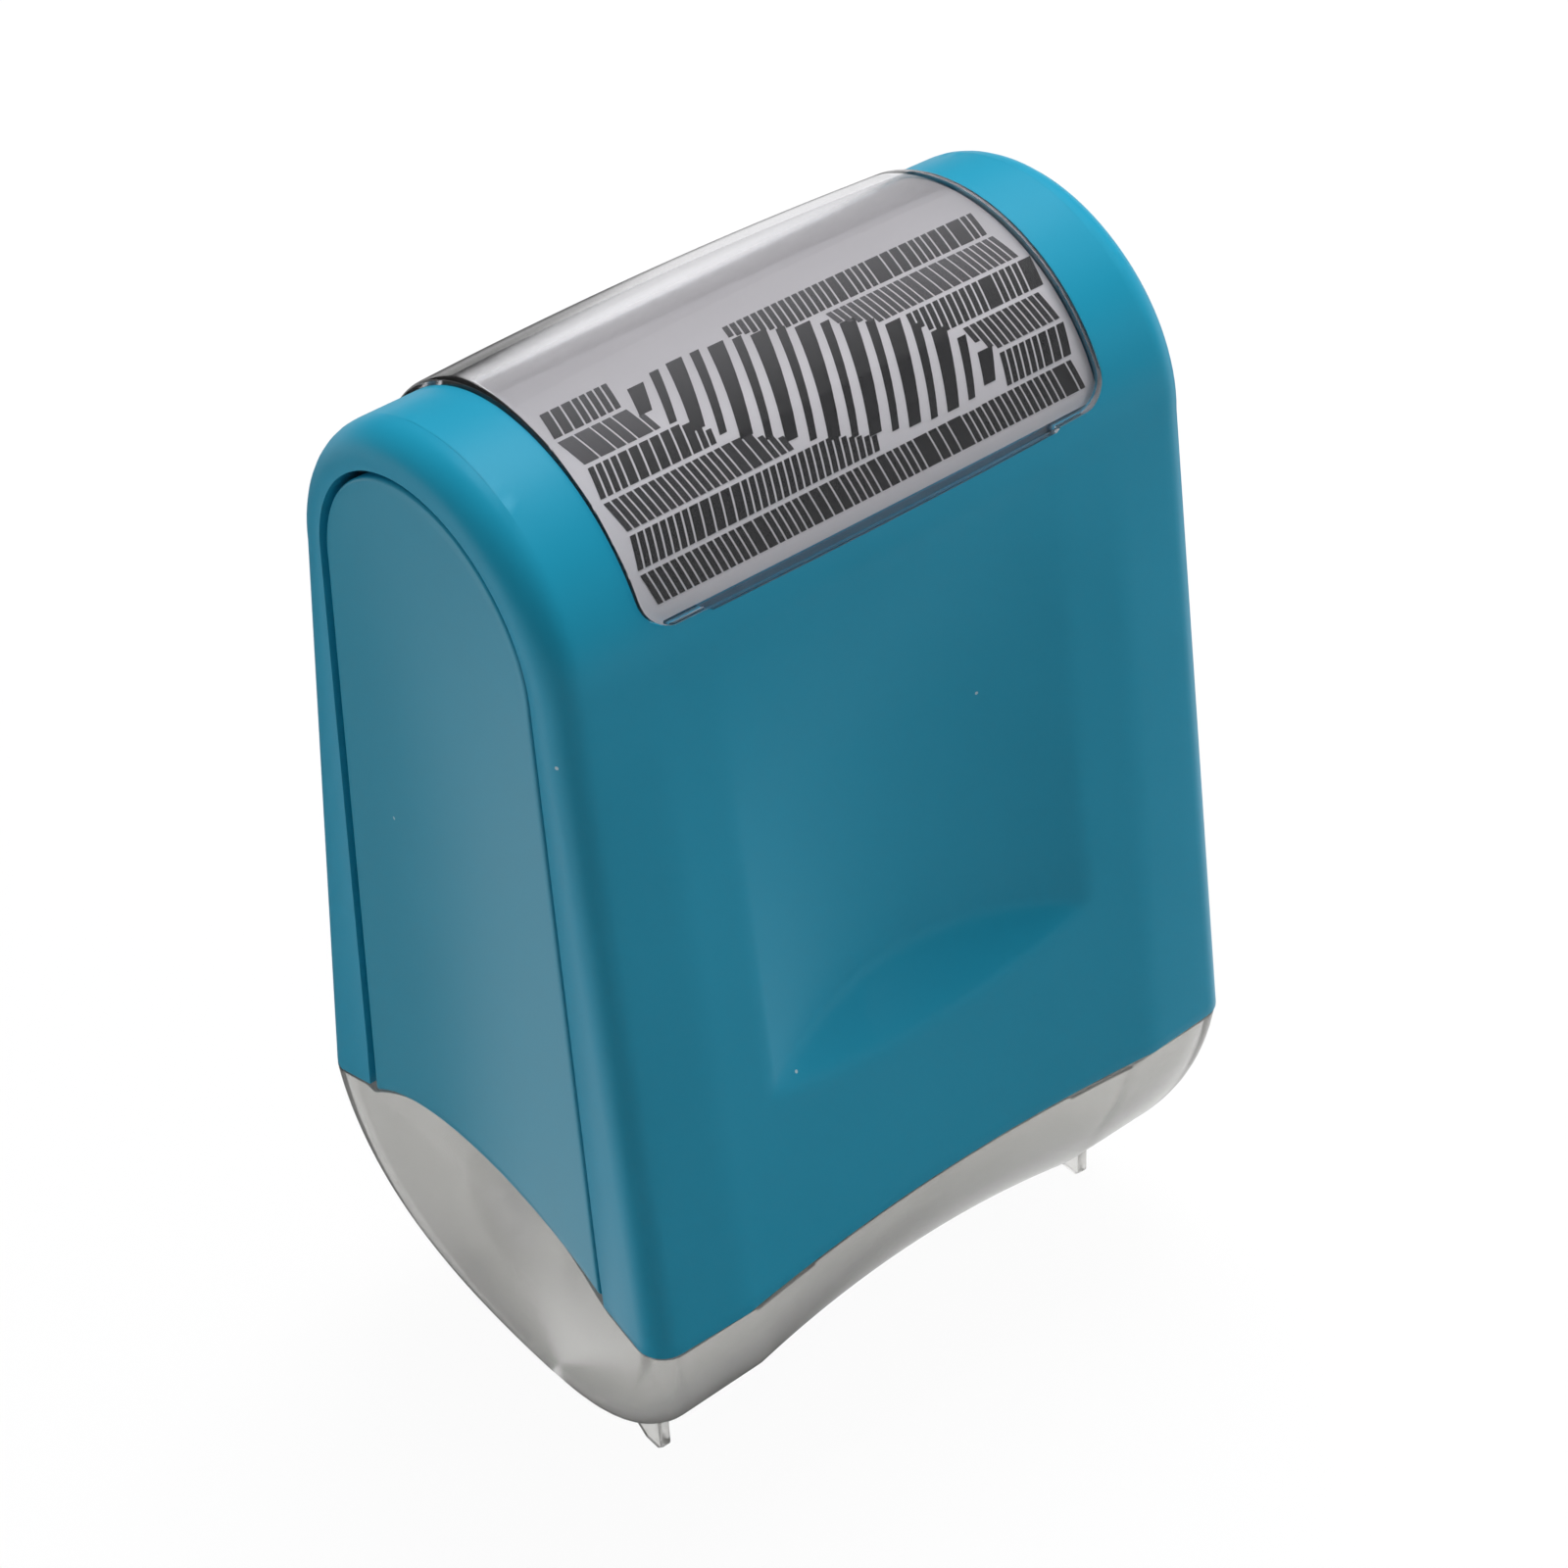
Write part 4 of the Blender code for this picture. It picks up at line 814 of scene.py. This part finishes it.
for number in range(SLATS):
    x = -LENS_HALF + LENS_HALF * 2 * (number + 0.5) / SLATS
    low, high = lens_edge(x, 0)
    lean = SLAT_LEAN * (high - low) / (2 * LENS_RISE)
    broad = 2 * LENS_HALF / SLATS * SLAT_SHARES[number % 2]
    widths = [broad * taper for taper in SLAT_TAPER]
    inks["dark"].append(mark("slat", (x - lean, low), (x + lean, high), *widths))
bpy.data.objects.remove(strip, do_unlink=True)

# The ink is painted paler towards the ridge of the arch, a painted sheen that stands for the
# window's soft reflection over the upper rows.
for word, colour, painted_sheen in PRINT_INKS:
    pick(*inks[word])
    bpy.ops.object.join()
    printed = bpy.context.object
    printed.name = f"card_print_{word}"
    apply_step(printed, "SOLIDIFY", thickness=INK_THICK, offset=-1.0)
    ink = plastic(f"print_ink_{word}", colour, spread=0.2, grain=500, roughness=0.6, bump=0.2,
                  bump_scale=5000, specular=0.1)
    dress(printed, fade_along(ink, "Z", PRINT_SHEEN_REACH, painted_sheen))
    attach(printed, "case")

# Top window
# A clear polished moulding that snaps over the card, crowned across and rounded at its
# edge, with a long shallow lip in the middle of each lower edge.
WINDOW_UNDER = 0.75 * MM
WINDOW_PROUD = 0.85 * MM
WINDOW_PROUD_END = 0.35 * MM
WINDOW_EDGE = 0.3 * MM
WINDOW_EDGE_DROP = 0.2 * MM
WINDOW_TINT = (0.945, 0.94, 0.965)
CLEAR_SPECULAR = 0.35


def window_face(x, edge):
    proud = WINDOW_PROUD - (WINDOW_PROUD - WINDOW_PROUD_END) * (x / WINDOW_X) ** 2
    turn = 1 - min(edge / WINDOW_EDGE, 1)
    return proud - WINDOW_EDGE_DROP * (1 - sqrt(max(1 - turn ** 2, 0)))


def clear_plastic(name, colour, clearness, ior, **surface):
    """Clear moulded plastic, a little cloudy and wavy. Lamps shine straight through it."""
    made = plastic(name, colour, grain=120, specular=CLEAR_SPECULAR, **surface)
    tree = made.node_tree
    shader = tree.nodes["Principled BSDF"]
    feed(tree, shader, {"Transmission Weight": clearness, "IOR": ior})
    passed = (*[share * clearness for share in colour], 1)
    passing = add_node(tree, "ShaderNodeBsdfTransparent", {"Color": passed})
    lit = add_node(tree, "ShaderNodeMixShader", {
        "Fac": add_node(tree, "ShaderNodeLightPath", {}).outputs["Is Shadow Ray"],
        1: shader.outputs["BSDF"], 2: passing.outputs["BSDF"],
    })
    feed(tree, tree.nodes["Material Output"], {"Surface": lit.outputs["Shader"]})
    return made


window_size = (WINDOW_X, WINDOW_LOW_Z, WINDOW_CORNER, LIP_DROP, 0)
window_top = arch_skin("clear_window", *window_size, window_face)
window_floor = arch_skin("window_floor", *window_size, lambda x, edge: -WINDOW_UNDER)
window = closed_sheet(window_top, window_floor)
smooth(window)
dress(window, clear_plastic("window_clear", WINDOW_TINT, clearness=1.0, ior=1.42, spread=0.01,
                            roughness=0.06, bump=0.02, bump_scale=900))
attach(window, "case")
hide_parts("top_window")

# End panels
# Faintly crowned teal plates with an arched foot, one on each side of the inner unit. They
# stand in the case's open ends with a thin groove all round, on pegs pressed into the side
# plates.
GROOVE = 0.5 * MM
PANEL_THICK = 2.0 * MM
PANEL_LOW_Z = 23.6 * MM
PANEL_ARCH_Z = 28.6 * MM
PANEL_MIDDLE_Z = 55.0 * MM
PANEL_CROWN = 0.65 * MM
CROWN_FADE = (63.0 * MM, 86.0 * MM)
PANEL_SUNK = 0.15 * MM
PANEL_EDGE = 0.3 * MM
PANEL_RINGS = [0.0, 0.15, 0.3, 0.45, 0.6, 0.72, 0.82, 0.9, 0.96, 1.0]
PANEL_WALL_STEPS = 30
PANEL_ARCH_STEPS = 72
PANEL_FOOT_STEPS = 20
PANEL_TEAL = (0.022, 0.335, 0.500)
PEG_RADIUS = 1.5 * MM
PEG_OUT_X = 24.6 * MM
PEG_DEPTH = 1.4 * MM
PEG_PLACES = [(y * MM, z * MM) for z in (37.0, 56.0) for y in (-7.5, 7.5)]
PANEL_FOOT = half_depth(PANEL_LOW_Z) - rim_width(PANEL_LOW_Z) - GROOVE


def foot_arch(y):
    """Height at y of the round arch under the panel."""
    rise = PANEL_ARCH_Z - PANEL_LOW_Z
    radius = (PANEL_FOOT ** 2 + rise ** 2) / (2 * rise)
    return PANEL_ARCH_Z - radius + sqrt(radius ** 2 - y ** 2)


panel_walls = spaced(PANEL_LOW_Z, ARCH_Z, PANEL_WALL_STEPS)
panel_rows = [("wall", -1, z) for z in panel_walls]
panel_rows += [("arch", pi - pi * i / PANEL_ARCH_STEPS) for i in range(PANEL_ARCH_STEPS + 1)]
panel_rows += [("wall", 1, z) for z in reversed(panel_walls)]
panel_outline = [outline_point(place, rim_width(outline_point(place, 0)[1]) + GROOVE)
                 for place in panel_rows]
panel_foot = [PANEL_FOOT * (1 - i / PANEL_FOOT_STEPS) for i in range(1, 2 * PANEL_FOOT_STEPS + 1)]
panel_outline += [(y, foot_arch(y)) for y in panel_foot]


def panel_half(z):
    """Half the panel's depth at height z. Above its straight sides it stays as at their top."""
    z = min(z, ARCH_Z)
    return half_depth(z) - rim_width(z) - GROOVE


def panel_point(ring, spot):
    """A point of the panel's crowned outer face, so far from its middle to its outline."""
    y, z = spot[0] * ring, PANEL_MIDDLE_Z + (spot[1] - PANEL_MIDDLE_Z) * ring
    swell = PANEL_CROWN * (1 - min((y / panel_half(z)) ** 2, 1)) * (1 - smooth_step(z, *CROWN_FADE))
    return half_width(z) + swell - PANEL_SUNK, y, z


panel_teal = teal_plastic("panel_teal", PANEL_TEAL, roughness=0.30, specular=0.6)
for side, word in ((-1, "left"), (1, "right")):
    panel = skin(f"{word}_end_plate", PANEL_RINGS, panel_outline, panel_point)
    apply_step(panel, "SOLIDIFY", thickness=PANEL_THICK - PANEL_SUNK, offset=-1.0)
    pick(panel)
    bpy.ops.object.mode_set(mode="EDIT")
    bpy.ops.mesh.select_all(action="SELECT")
    if side < 0:
        bpy.ops.transform.mirror(constraint_axis=(True, False, False), center_override=(0, 0, 0))
    bpy.ops.mesh.normals_make_consistent(inside=False)
    bpy.ops.object.mode_set(mode="OBJECT")
    round_edges(panel, PANEL_EDGE, segments=3, angle=50)
    for y, z in PEG_PLACES:
        ends = PEG_OUT_X - PEG_DEPTH, half_width(z) - PANEL_THICK / 2
        deselect()
        bpy.ops.mesh.primitive_cylinder_add(vertices=32, radius=PEG_RADIUS, depth=ends[1] - ends[0],
                                            location=(side * (ends[0] + ends[1]) / 2, y, z),
                                            rotation=(0, pi / 2, 0))
        combine(panel, start_piece("peg"), "UNION")
    smooth(panel)
    dress(panel, panel_teal)
    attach(panel, "cartridge")
    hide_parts(f"{word}_end_panel")

# Clear cap
# A boat-shaped moulding in clear, slightly hazy plastic, with the same hollowed front and
# back as the case, four fins to stand on and four snap tabs that hold it in the case.
CAP_WALL = 1.5 * MM
CAP_GAP = 0.12 * MM
CAP_RADIUS = 21.1 * MM
CAP_TOP_Z = 21.7 * MM
CAP_TOP_BACK_Z = 22.4 * MM
CAP_MIDDLE_Z = 22.9 * MM
CAP_DEPTH = 21.95 * MM
END_DRAFT = 0.6 * MM
END_DRAW = 5.2 * MM
END_POWER = 2.5
CAP_ROUND_LOW = 4.6 * MM
CAP_HOLLOW_LOW = 1.5 * MM
CAP_NARROWING = 5.3 * MM
CAP_ROWS = 96
CAP_BELLY_STEPS = 22
CAP_ROUND_STEPS = 12
CAP_END_STEPS = 16
CAP_TINT = (0.935, 0.93, 0.91)


def cap_end_x(z):
    """Where the cap's end wall stands at height z: a slight draft, curved inwards at the bottom."""
    share = min(max((CAP_MIDDLE_Z - z) / CAP_DEPTH, 0), 1)
    curve = 1 - (1 - share ** END_POWER) ** (1 / END_POWER)
    return half_width(max(z, SEAM_Z)) - END_DRAFT * share - END_DRAW * curve


def cap_sunk(x, share):
    ridge = RIDGE_X - CAP_NARROWING * share
    if abs(x) >= ridge:
        return 0
    depth = HOLLOW_DEPTH + (CAP_HOLLOW_LOW - HOLLOW_DEPTH) * share
    return depth * (1 - (x / ridge) ** 2) - RIDGE_PROUD * (1 - share)


def cap_rim_z(y):
    """Upper edge of the cap's end wall: it follows the case's rim, then the panel's arch."""
    seam = CAP_TOP_Z if y < 0 else CAP_TOP_BACK_Z
    groove = CAP_RADIUS - RIM_LOW
    if abs(y) > groove:
        return seam + RIM_LIFT * (1 - (abs(y) - groove) / (RIM_LOW - CORNER_LOW))
    if abs(y) > PANEL_FOOT:
        return seam + RIM_LIFT
    return foot_arch(y) - CAP_GAP


def cap_corner(share):
    return CORNER_LOW + (CAP_ROUND_LOW - CORNER_LOW) * share


def cap_point(angle, column, wall):
    """A point of the cap, outside (wall 0) or inside; angle runs from its front under the belly."""
    share = sin(angle)
    kind, side, value = column

    def on_bow(inset):
        return -(CAP_RADIUS - inset) * cos(angle), CAP_MIDDLE_Z - (CAP_DEPTH - inset) * share

    if kind == "belly":
        x = side * (RIDGE_X - CAP_NARROWING * share) * value
        return x, *on_bow(cap_sunk(x, share) + wall)
    rounding = cap_corner(share)
    if kind == "round":
        inset = rounding * (1 - cos(value))
        x = cap_end_x(on_bow(inset)[1]) - rounding * (1 - sin(value)) - wall * sin(value)
        return side * x, *on_bow(inset + wall * cos(value))
    y, z = on_bow(rounding)
    drop = z - cap_rim_z(y)
    z = cap_rim_z(y * value) + drop * value
    return side * (cap_end_x(z) - wall), y * value, z


cap_right = [("belly", 1, share) for share in spaced(0, 1, CAP_BELLY_STEPS)[1:]]
cap_right += [("round", 1, pi / 2 * i / CAP_ROUND_STEPS) for i in range(CAP_ROUND_STEPS + 1)]
cap_right += [("end", 1, i / CAP_END_STEPS) for i in range(CAP_END_STEPS - 1, -1, -1)]
cap_left = [(kind, -1, value) for kind, side, value in reversed(cap_right)]
cap_columns = cap_left + [("belly", 1, 0.0)] + cap_right
cap_front = asin((CAP_MIDDLE_Z - CAP_TOP_Z) / CAP_DEPTH)
cap_back = pi - asin((CAP_MIDDLE_Z - CAP_TOP_BACK_Z) / CAP_DEPTH)
cap_rows = spaced(cap_back, cap_front, CAP_ROWS) + [cap_front]
cap_outside = skin("clear_boat", cap_rows, cap_columns,
                   lambda angle, column: cap_point(angle, column, 0))
cap_inside = skin("cap_inside", cap_rows, cap_columns,
                  lambda angle, column: cap_point(angle, column, CAP_WALL))
cap = closed_sheet(cap_outside, cap_inside)

# The tabs stand up inside the case's walls, and the fins are rooted in the cap's own wall.
TAB_X = 16.0 * MM
TAB_WIDTH = 6.0 * MM
TAB_THICK = 1.0 * MM
TAB_RISE = 3.0 * MM
TAB_ROOT = 1.1 * MM
TAB_LEDGE = 0.15 * MM
TAB_FIT = 0.3 * MM
FIN_X = 22.1 * MM
FIN_THICK = 1.0 * MM
FIN_FRONT = 11.9 * MM
FIN_REAR = 6.5 * MM
FIN_FLAT = 1.5 * MM
FIN_NOSE = 0.5 * MM
FIN_ROOT = 0.4 * MM
FIN_EDGE = 0.3 * MM
FIN_STEPS = 12
SETTLE_TURNS = 8


def plate(name, outline, low, high):
    """A flat piece with a closed (y, z) outline, from x low to high."""
    deselect()
    bpy.ops.mesh.primitive_circle_add(vertices=len(outline), radius=MM, fill_type="NGON")
    piece = start_piece(name)
    for vertex, (y, z) in zip(piece.data.vertices, outline):
        vertex.co = (low, y, z)
    bpy.ops.object.mode_set(mode="EDIT")
    bpy.ops.mesh.select_all(action="SELECT")
    bpy.ops.mesh.extrude_region_move(TRANSFORM_OT_translate={"value": (high - low, 0, 0)})
    bpy.ops.mesh.select_all(action="SELECT")
    bpy.ops.mesh.normals_make_consistent(inside=False)
    bpy.ops.object.mode_set(mode="OBJECT")
    return piece


def belly_z(x, y):
    """Height of the cap's outside at x, y, on the rounding between its belly and its end."""
    inset = 0
    for _ in range(SETTLE_TURNS):
        share = sqrt(1 - (y / (CAP_RADIUS - inset)) ** 2)
        z = CAP_MIDDLE_Z - (CAP_DEPTH - inset) * share
        rounding = cap_corner(share)
        reach = min(max(cap_end_x(z) - x, 0), rounding)
        inset = rounding - sqrt(rounding ** 2 - (rounding - reach) ** 2)
    return z


tab_y = half_depth(SEAM_Z) - CASE_WALL - HOLLOW_DEPTH - TAB_FIT
tab_root_y = CAP_RADIUS - HOLLOW_DEPTH
tab_outline = [(-tab_root_y, CAP_TOP_Z - TAB_ROOT), (-tab_root_y, CAP_TOP_Z - TAB_LEDGE),
               (-tab_y, CAP_TOP_Z - TAB_LEDGE), (-tab_y, SEAM_Z + TAB_RISE),
               (TAB_THICK - tab_y, SEAM_Z + TAB_RISE), (TAB_THICK - tab_y, CAP_TOP_Z - TAB_ROOT)]
fin_root = [(-y, belly_z(FIN_X + FIN_THICK / 2, y) + FIN_ROOT)
            for y in spaced(FIN_REAR, FIN_FRONT, FIN_STEPS) + [FIN_FRONT]]
fin_outline = fin_root + [
    (-FIN_FRONT, FIN_NOSE), (FIN_NOSE - FIN_FRONT, 0), (FIN_NOSE + FIN_FLAT - FIN_FRONT, 0),
    (-FIN_REAR, fin_root[0][1] - FIN_ROOT),
]
for side in (-1, 1):
    for turned in (1, -1):
        tab = plate("tab", [(turned * y, z) for y, z in tab_outline],
                    side * TAB_X - TAB_WIDTH / 2, side * TAB_X + TAB_WIDTH / 2)
        combine(cap, tab, "UNION")
        fin = plate("fin", [(turned * y, z) for y, z in fin_outline],
                    side * FIN_X - FIN_THICK / 2, side * FIN_X + FIN_THICK / 2)
        round_edges(fin, FIN_EDGE, segments=3, angle=50)
        combine(cap, fin, "UNION")
smooth(cap, angle=30)
dress(cap, clear_plastic("cap_clear", CAP_TINT, clearness=0.83, ior=1.49, spread=0.05,
                         roughness=0.22, bump=0.04, bump_scale=500))
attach(cap, "cap")
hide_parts("clear_cap")

# Floor, light and camera
# A sheer white floor, soft lamps above and at the sides, and a long lens at the height
# from which the product was looked at. The camera sees through the floor, all but a faint
# shadow, so that what slides below it stays in view.
FLOOR_HALF = 1.2
FLOOR_GREY = (0.50, 0.50, 0.50, 1)
# Painted shade: the floor's colour as seen in reflections, darker than it is lit.
FLOOR_PAINTED_SHADE = (0.14, 0.14, 0.14, 1)
FLOOR_ROUGHNESS = 0.9
FLOOR_SPECULAR = 0.1
LEFT_SHEET_REAR = (44.5, 61.5)
LEFT_SHEET_FRONT = (-42.0, -14.0)
RIGHT_SHEET_FRONT = (-166.0, -146.0)
FAR_SHEET = (0.20, 0.32)
FAR_SHEET_SHARE = 0.72
SHEET_SHARE = 0.96
UNLIT_DEPTH = 0.5
VEIL_REACH = (0.10, 0.50)
VEIL_CLEAR = 0.90

deselect()
bpy.ops.mesh.primitive_plane_add(size=2 * FLOOR_HALF, location=(0, 0, 0))
floor = start_piece("studio_floor")
paper = new_finish("floor_paper")
tree = paper.node_tree
seen = add_node(tree, "ShaderNodeLightPath", {}).outputs
matt = tree.nodes["Principled BSDF"]
feed(tree, matt, {
    "Base Color": blend(tree, seen["Is Glossy Ray"], FLOOR_GREY, FLOOR_PAINTED_SHADE),
    "Roughness": FLOOR_ROUGHNESS, "Specular IOR Level": FLOOR_SPECULAR,
})

# In reflections it is dark, a painted shade for the object's shadow on the floor round it, but for
# soft-edged white sheets: one off the object's left end, a narrow one off its right end, and the
# far floor on all sides. Each sheet's edges are bearings from the left end in degrees, with the
# rear positive.
spot = add_node(tree, "ShaderNodeTexCoord", {}).outputs["Object"]
split = add_node(tree, "ShaderNodeSeparateXYZ", {"Vector": spot}).outputs
from_end = maths(tree, "MULTIPLY_ADD", split["X"], -1.0, -WIDTH_LOW / 2)
bearing = maths(tree, "ARCTAN2", split["Y"], from_end)
far_off = add_node(tree, "ShaderNodeVectorMath", {0: spot}, operation="LENGTH").outputs["Value"]


def turned_between(angles, result):
    return ramp(tree, bearing, [radians(angle) for angle in angles], result)


left_sheet = maths(tree, "MULTIPLY", turned_between(LEFT_SHEET_REAR, (1.0, 0.0)),
                   turned_between(LEFT_SHEET_FRONT, (0.0, 1.0)))
right_sheet = turned_between(RIGHT_SHEET_FRONT, (1.0, 0.0))
far_sheet = ramp(tree, far_off, FAR_SHEET, (0.0, FAR_SHEET_SHARE))
sheets = maths(tree, "MAXIMUM", maths(tree, "MAXIMUM", left_sheet, right_sheet), far_sheet)
mirrored = maths(tree, "MULTIPLY", sheets, seen["Is Glossy Ray"])
unlit = maths(tree, "LESS_THAN", seen["Diffuse Depth"], UNLIT_DEPTH)
through = maths(tree, "MULTIPLY", seen["Is Transmission Ray"], unlit)
white = maths(tree, "MULTIPLY", maths(tree, "MAXIMUM", through, mirrored), SHEET_SHARE)
lit_floor = add_node(tree, "ShaderNodeMixShader", {
    "Fac": white, 1: matt.outputs["BSDF"],
    2: add_node(tree, "ShaderNodeEmission", {}).outputs["Emission"],
})
direct = maths(tree, "MAXIMUM", seen["Is Camera Ray"], seen["Is Shadow Ray"])
veil = maths(tree, "MULTIPLY", direct, ramp(tree, far_off, VEIL_REACH, (VEIL_CLEAR, 1.0)))
sheer_floor = add_node(tree, "ShaderNodeMixShader", {
    "Fac": veil, 1: lit_floor.outputs["Shader"],
    2: add_node(tree, "ShaderNodeBsdfTransparent", {}).outputs["BSDF"],
})
feed(tree, tree.nodes["Material Output"], {"Surface": sheer_floor.outputs["Shader"]})
dress(floor, paper)

# The world lights weakly, and stands white behind the object and behind clear pieces.
WORLD_WHITE = (1, 1, 1, 1)
WORLD_FILL = 0.08
WORLD_BACKDROP = 1.06

world = bpy.data.worlds.new("studio_world")
bpy.context.scene.world = world
world.use_nodes = True
tree = world.node_tree
fill = tree.nodes["Background"]
feed(tree, fill, {"Color": WORLD_WHITE, "Strength": WORLD_FILL})
backdrop = add_node(tree, "ShaderNodeBackground", {
    "Color": WORLD_WHITE, "Strength": WORLD_BACKDROP,
})
seen = add_node(tree, "ShaderNodeLightPath", {}).outputs
direct = maths(tree, "MAXIMUM", seen["Is Camera Ray"], seen["Is Transmission Ray"])
unlit = maths(tree, "LESS_THAN", seen["Diffuse Depth"], UNLIT_DEPTH)
both = add_node(tree, "ShaderNodeMixShader", {
    "Fac": maths(tree, "MULTIPLY", direct, unlit),
    1: fill.outputs["Background"], 2: backdrop.outputs["Background"],
})
feed(tree, tree.nodes["World Output"], {"Surface": both.outputs["Shader"]})

# Each square soft lamp: its name, place, size and power, and whether it shows in gloss.
LAMP_AIM = Vector((0, 0, 0.05))
LAMPS = (
    ("top_lamp", (0.17, 0.13, 0.60), 0.30, 2.8, False),
    ("rear_lamp", (0.45, 0.55, 0.50), 0.80, 1.0, False),
    ("sky_lamp", (0.50, 0.12, 0.80), 1.00, 1.4, True),
    ("right_lamp", (0.45, -0.50, 0.30), 0.25, 1.15, False),
    ("side_lamp", (0.60, -0.15, 0.15), 0.25, 0.8, False),
    ("left_lamp", (-0.58, -0.17, 0.06), 0.15, 0.36, False),
    ("left_rear_lamp", (-0.50, 0.30, 0.08), 0.15, 0.70, False),
)

for name, place, size, power, glossy in LAMPS:
    light = bpy.data.lights.new(name, "AREA")
    light.shape = "SQUARE"
    light.size = size
    light.energy = power
    lamp = bpy.data.objects.new(name, light)
    lamp.location = place
    lamp.rotation_euler = (LAMP_AIM - Vector(place)).to_track_quat("-Z", "Y").to_euler()
    lamp.visible_glossy = glossy
    lamp.visible_transmission = False
    bpy.context.collection.objects.link(lamp)

# The camera's place, turn and shift, in degrees and in pixels of the photo's frame.
AIM = Vector((0, 0, 51.96 * MM))
DISTANCE = 254.5 * MM
ROUND_ANGLE = radians(37.625)
DOWN_ANGLE = radians(38.378)
ROLL = radians(-2.906)
FOCAL = 3546.28
SHIFT = (21.36, -52.15)
PICTURE = 1600
SENSOR = 36.0

ahead = Vector((sin(ROUND_ANGLE) * cos(DOWN_ANGLE), cos(ROUND_ANGLE) * cos(DOWN_ANGLE),
                -sin(DOWN_ANGLE)))
level = ahead.cross(Vector((0, 0, 1))).normalized()
upward = level.cross(ahead)
rolled = (level * cos(ROLL) + upward * sin(ROLL), upward * cos(ROLL) - level * sin(ROLL), -ahead)
lens = bpy.data.cameras.new("photo_camera")
lens.lens = FOCAL * SENSOR / PICTURE
lens.sensor_width = SENSOR
lens.shift_x = SHIFT[0] / PICTURE
lens.shift_y = SHIFT[1] / PICTURE
lens.clip_start = 0.01
camera = bpy.data.objects.new("photo_camera", lens)
camera.matrix_world = (Matrix.Translation(AIM - ahead * DISTANCE)
                       @ Matrix(rolled).transposed().to_4x4())
bpy.context.collection.objects.link(camera)
bpy.context.scene.camera = camera

bpy.context.scene.view_settings.view_transform = "Standard"
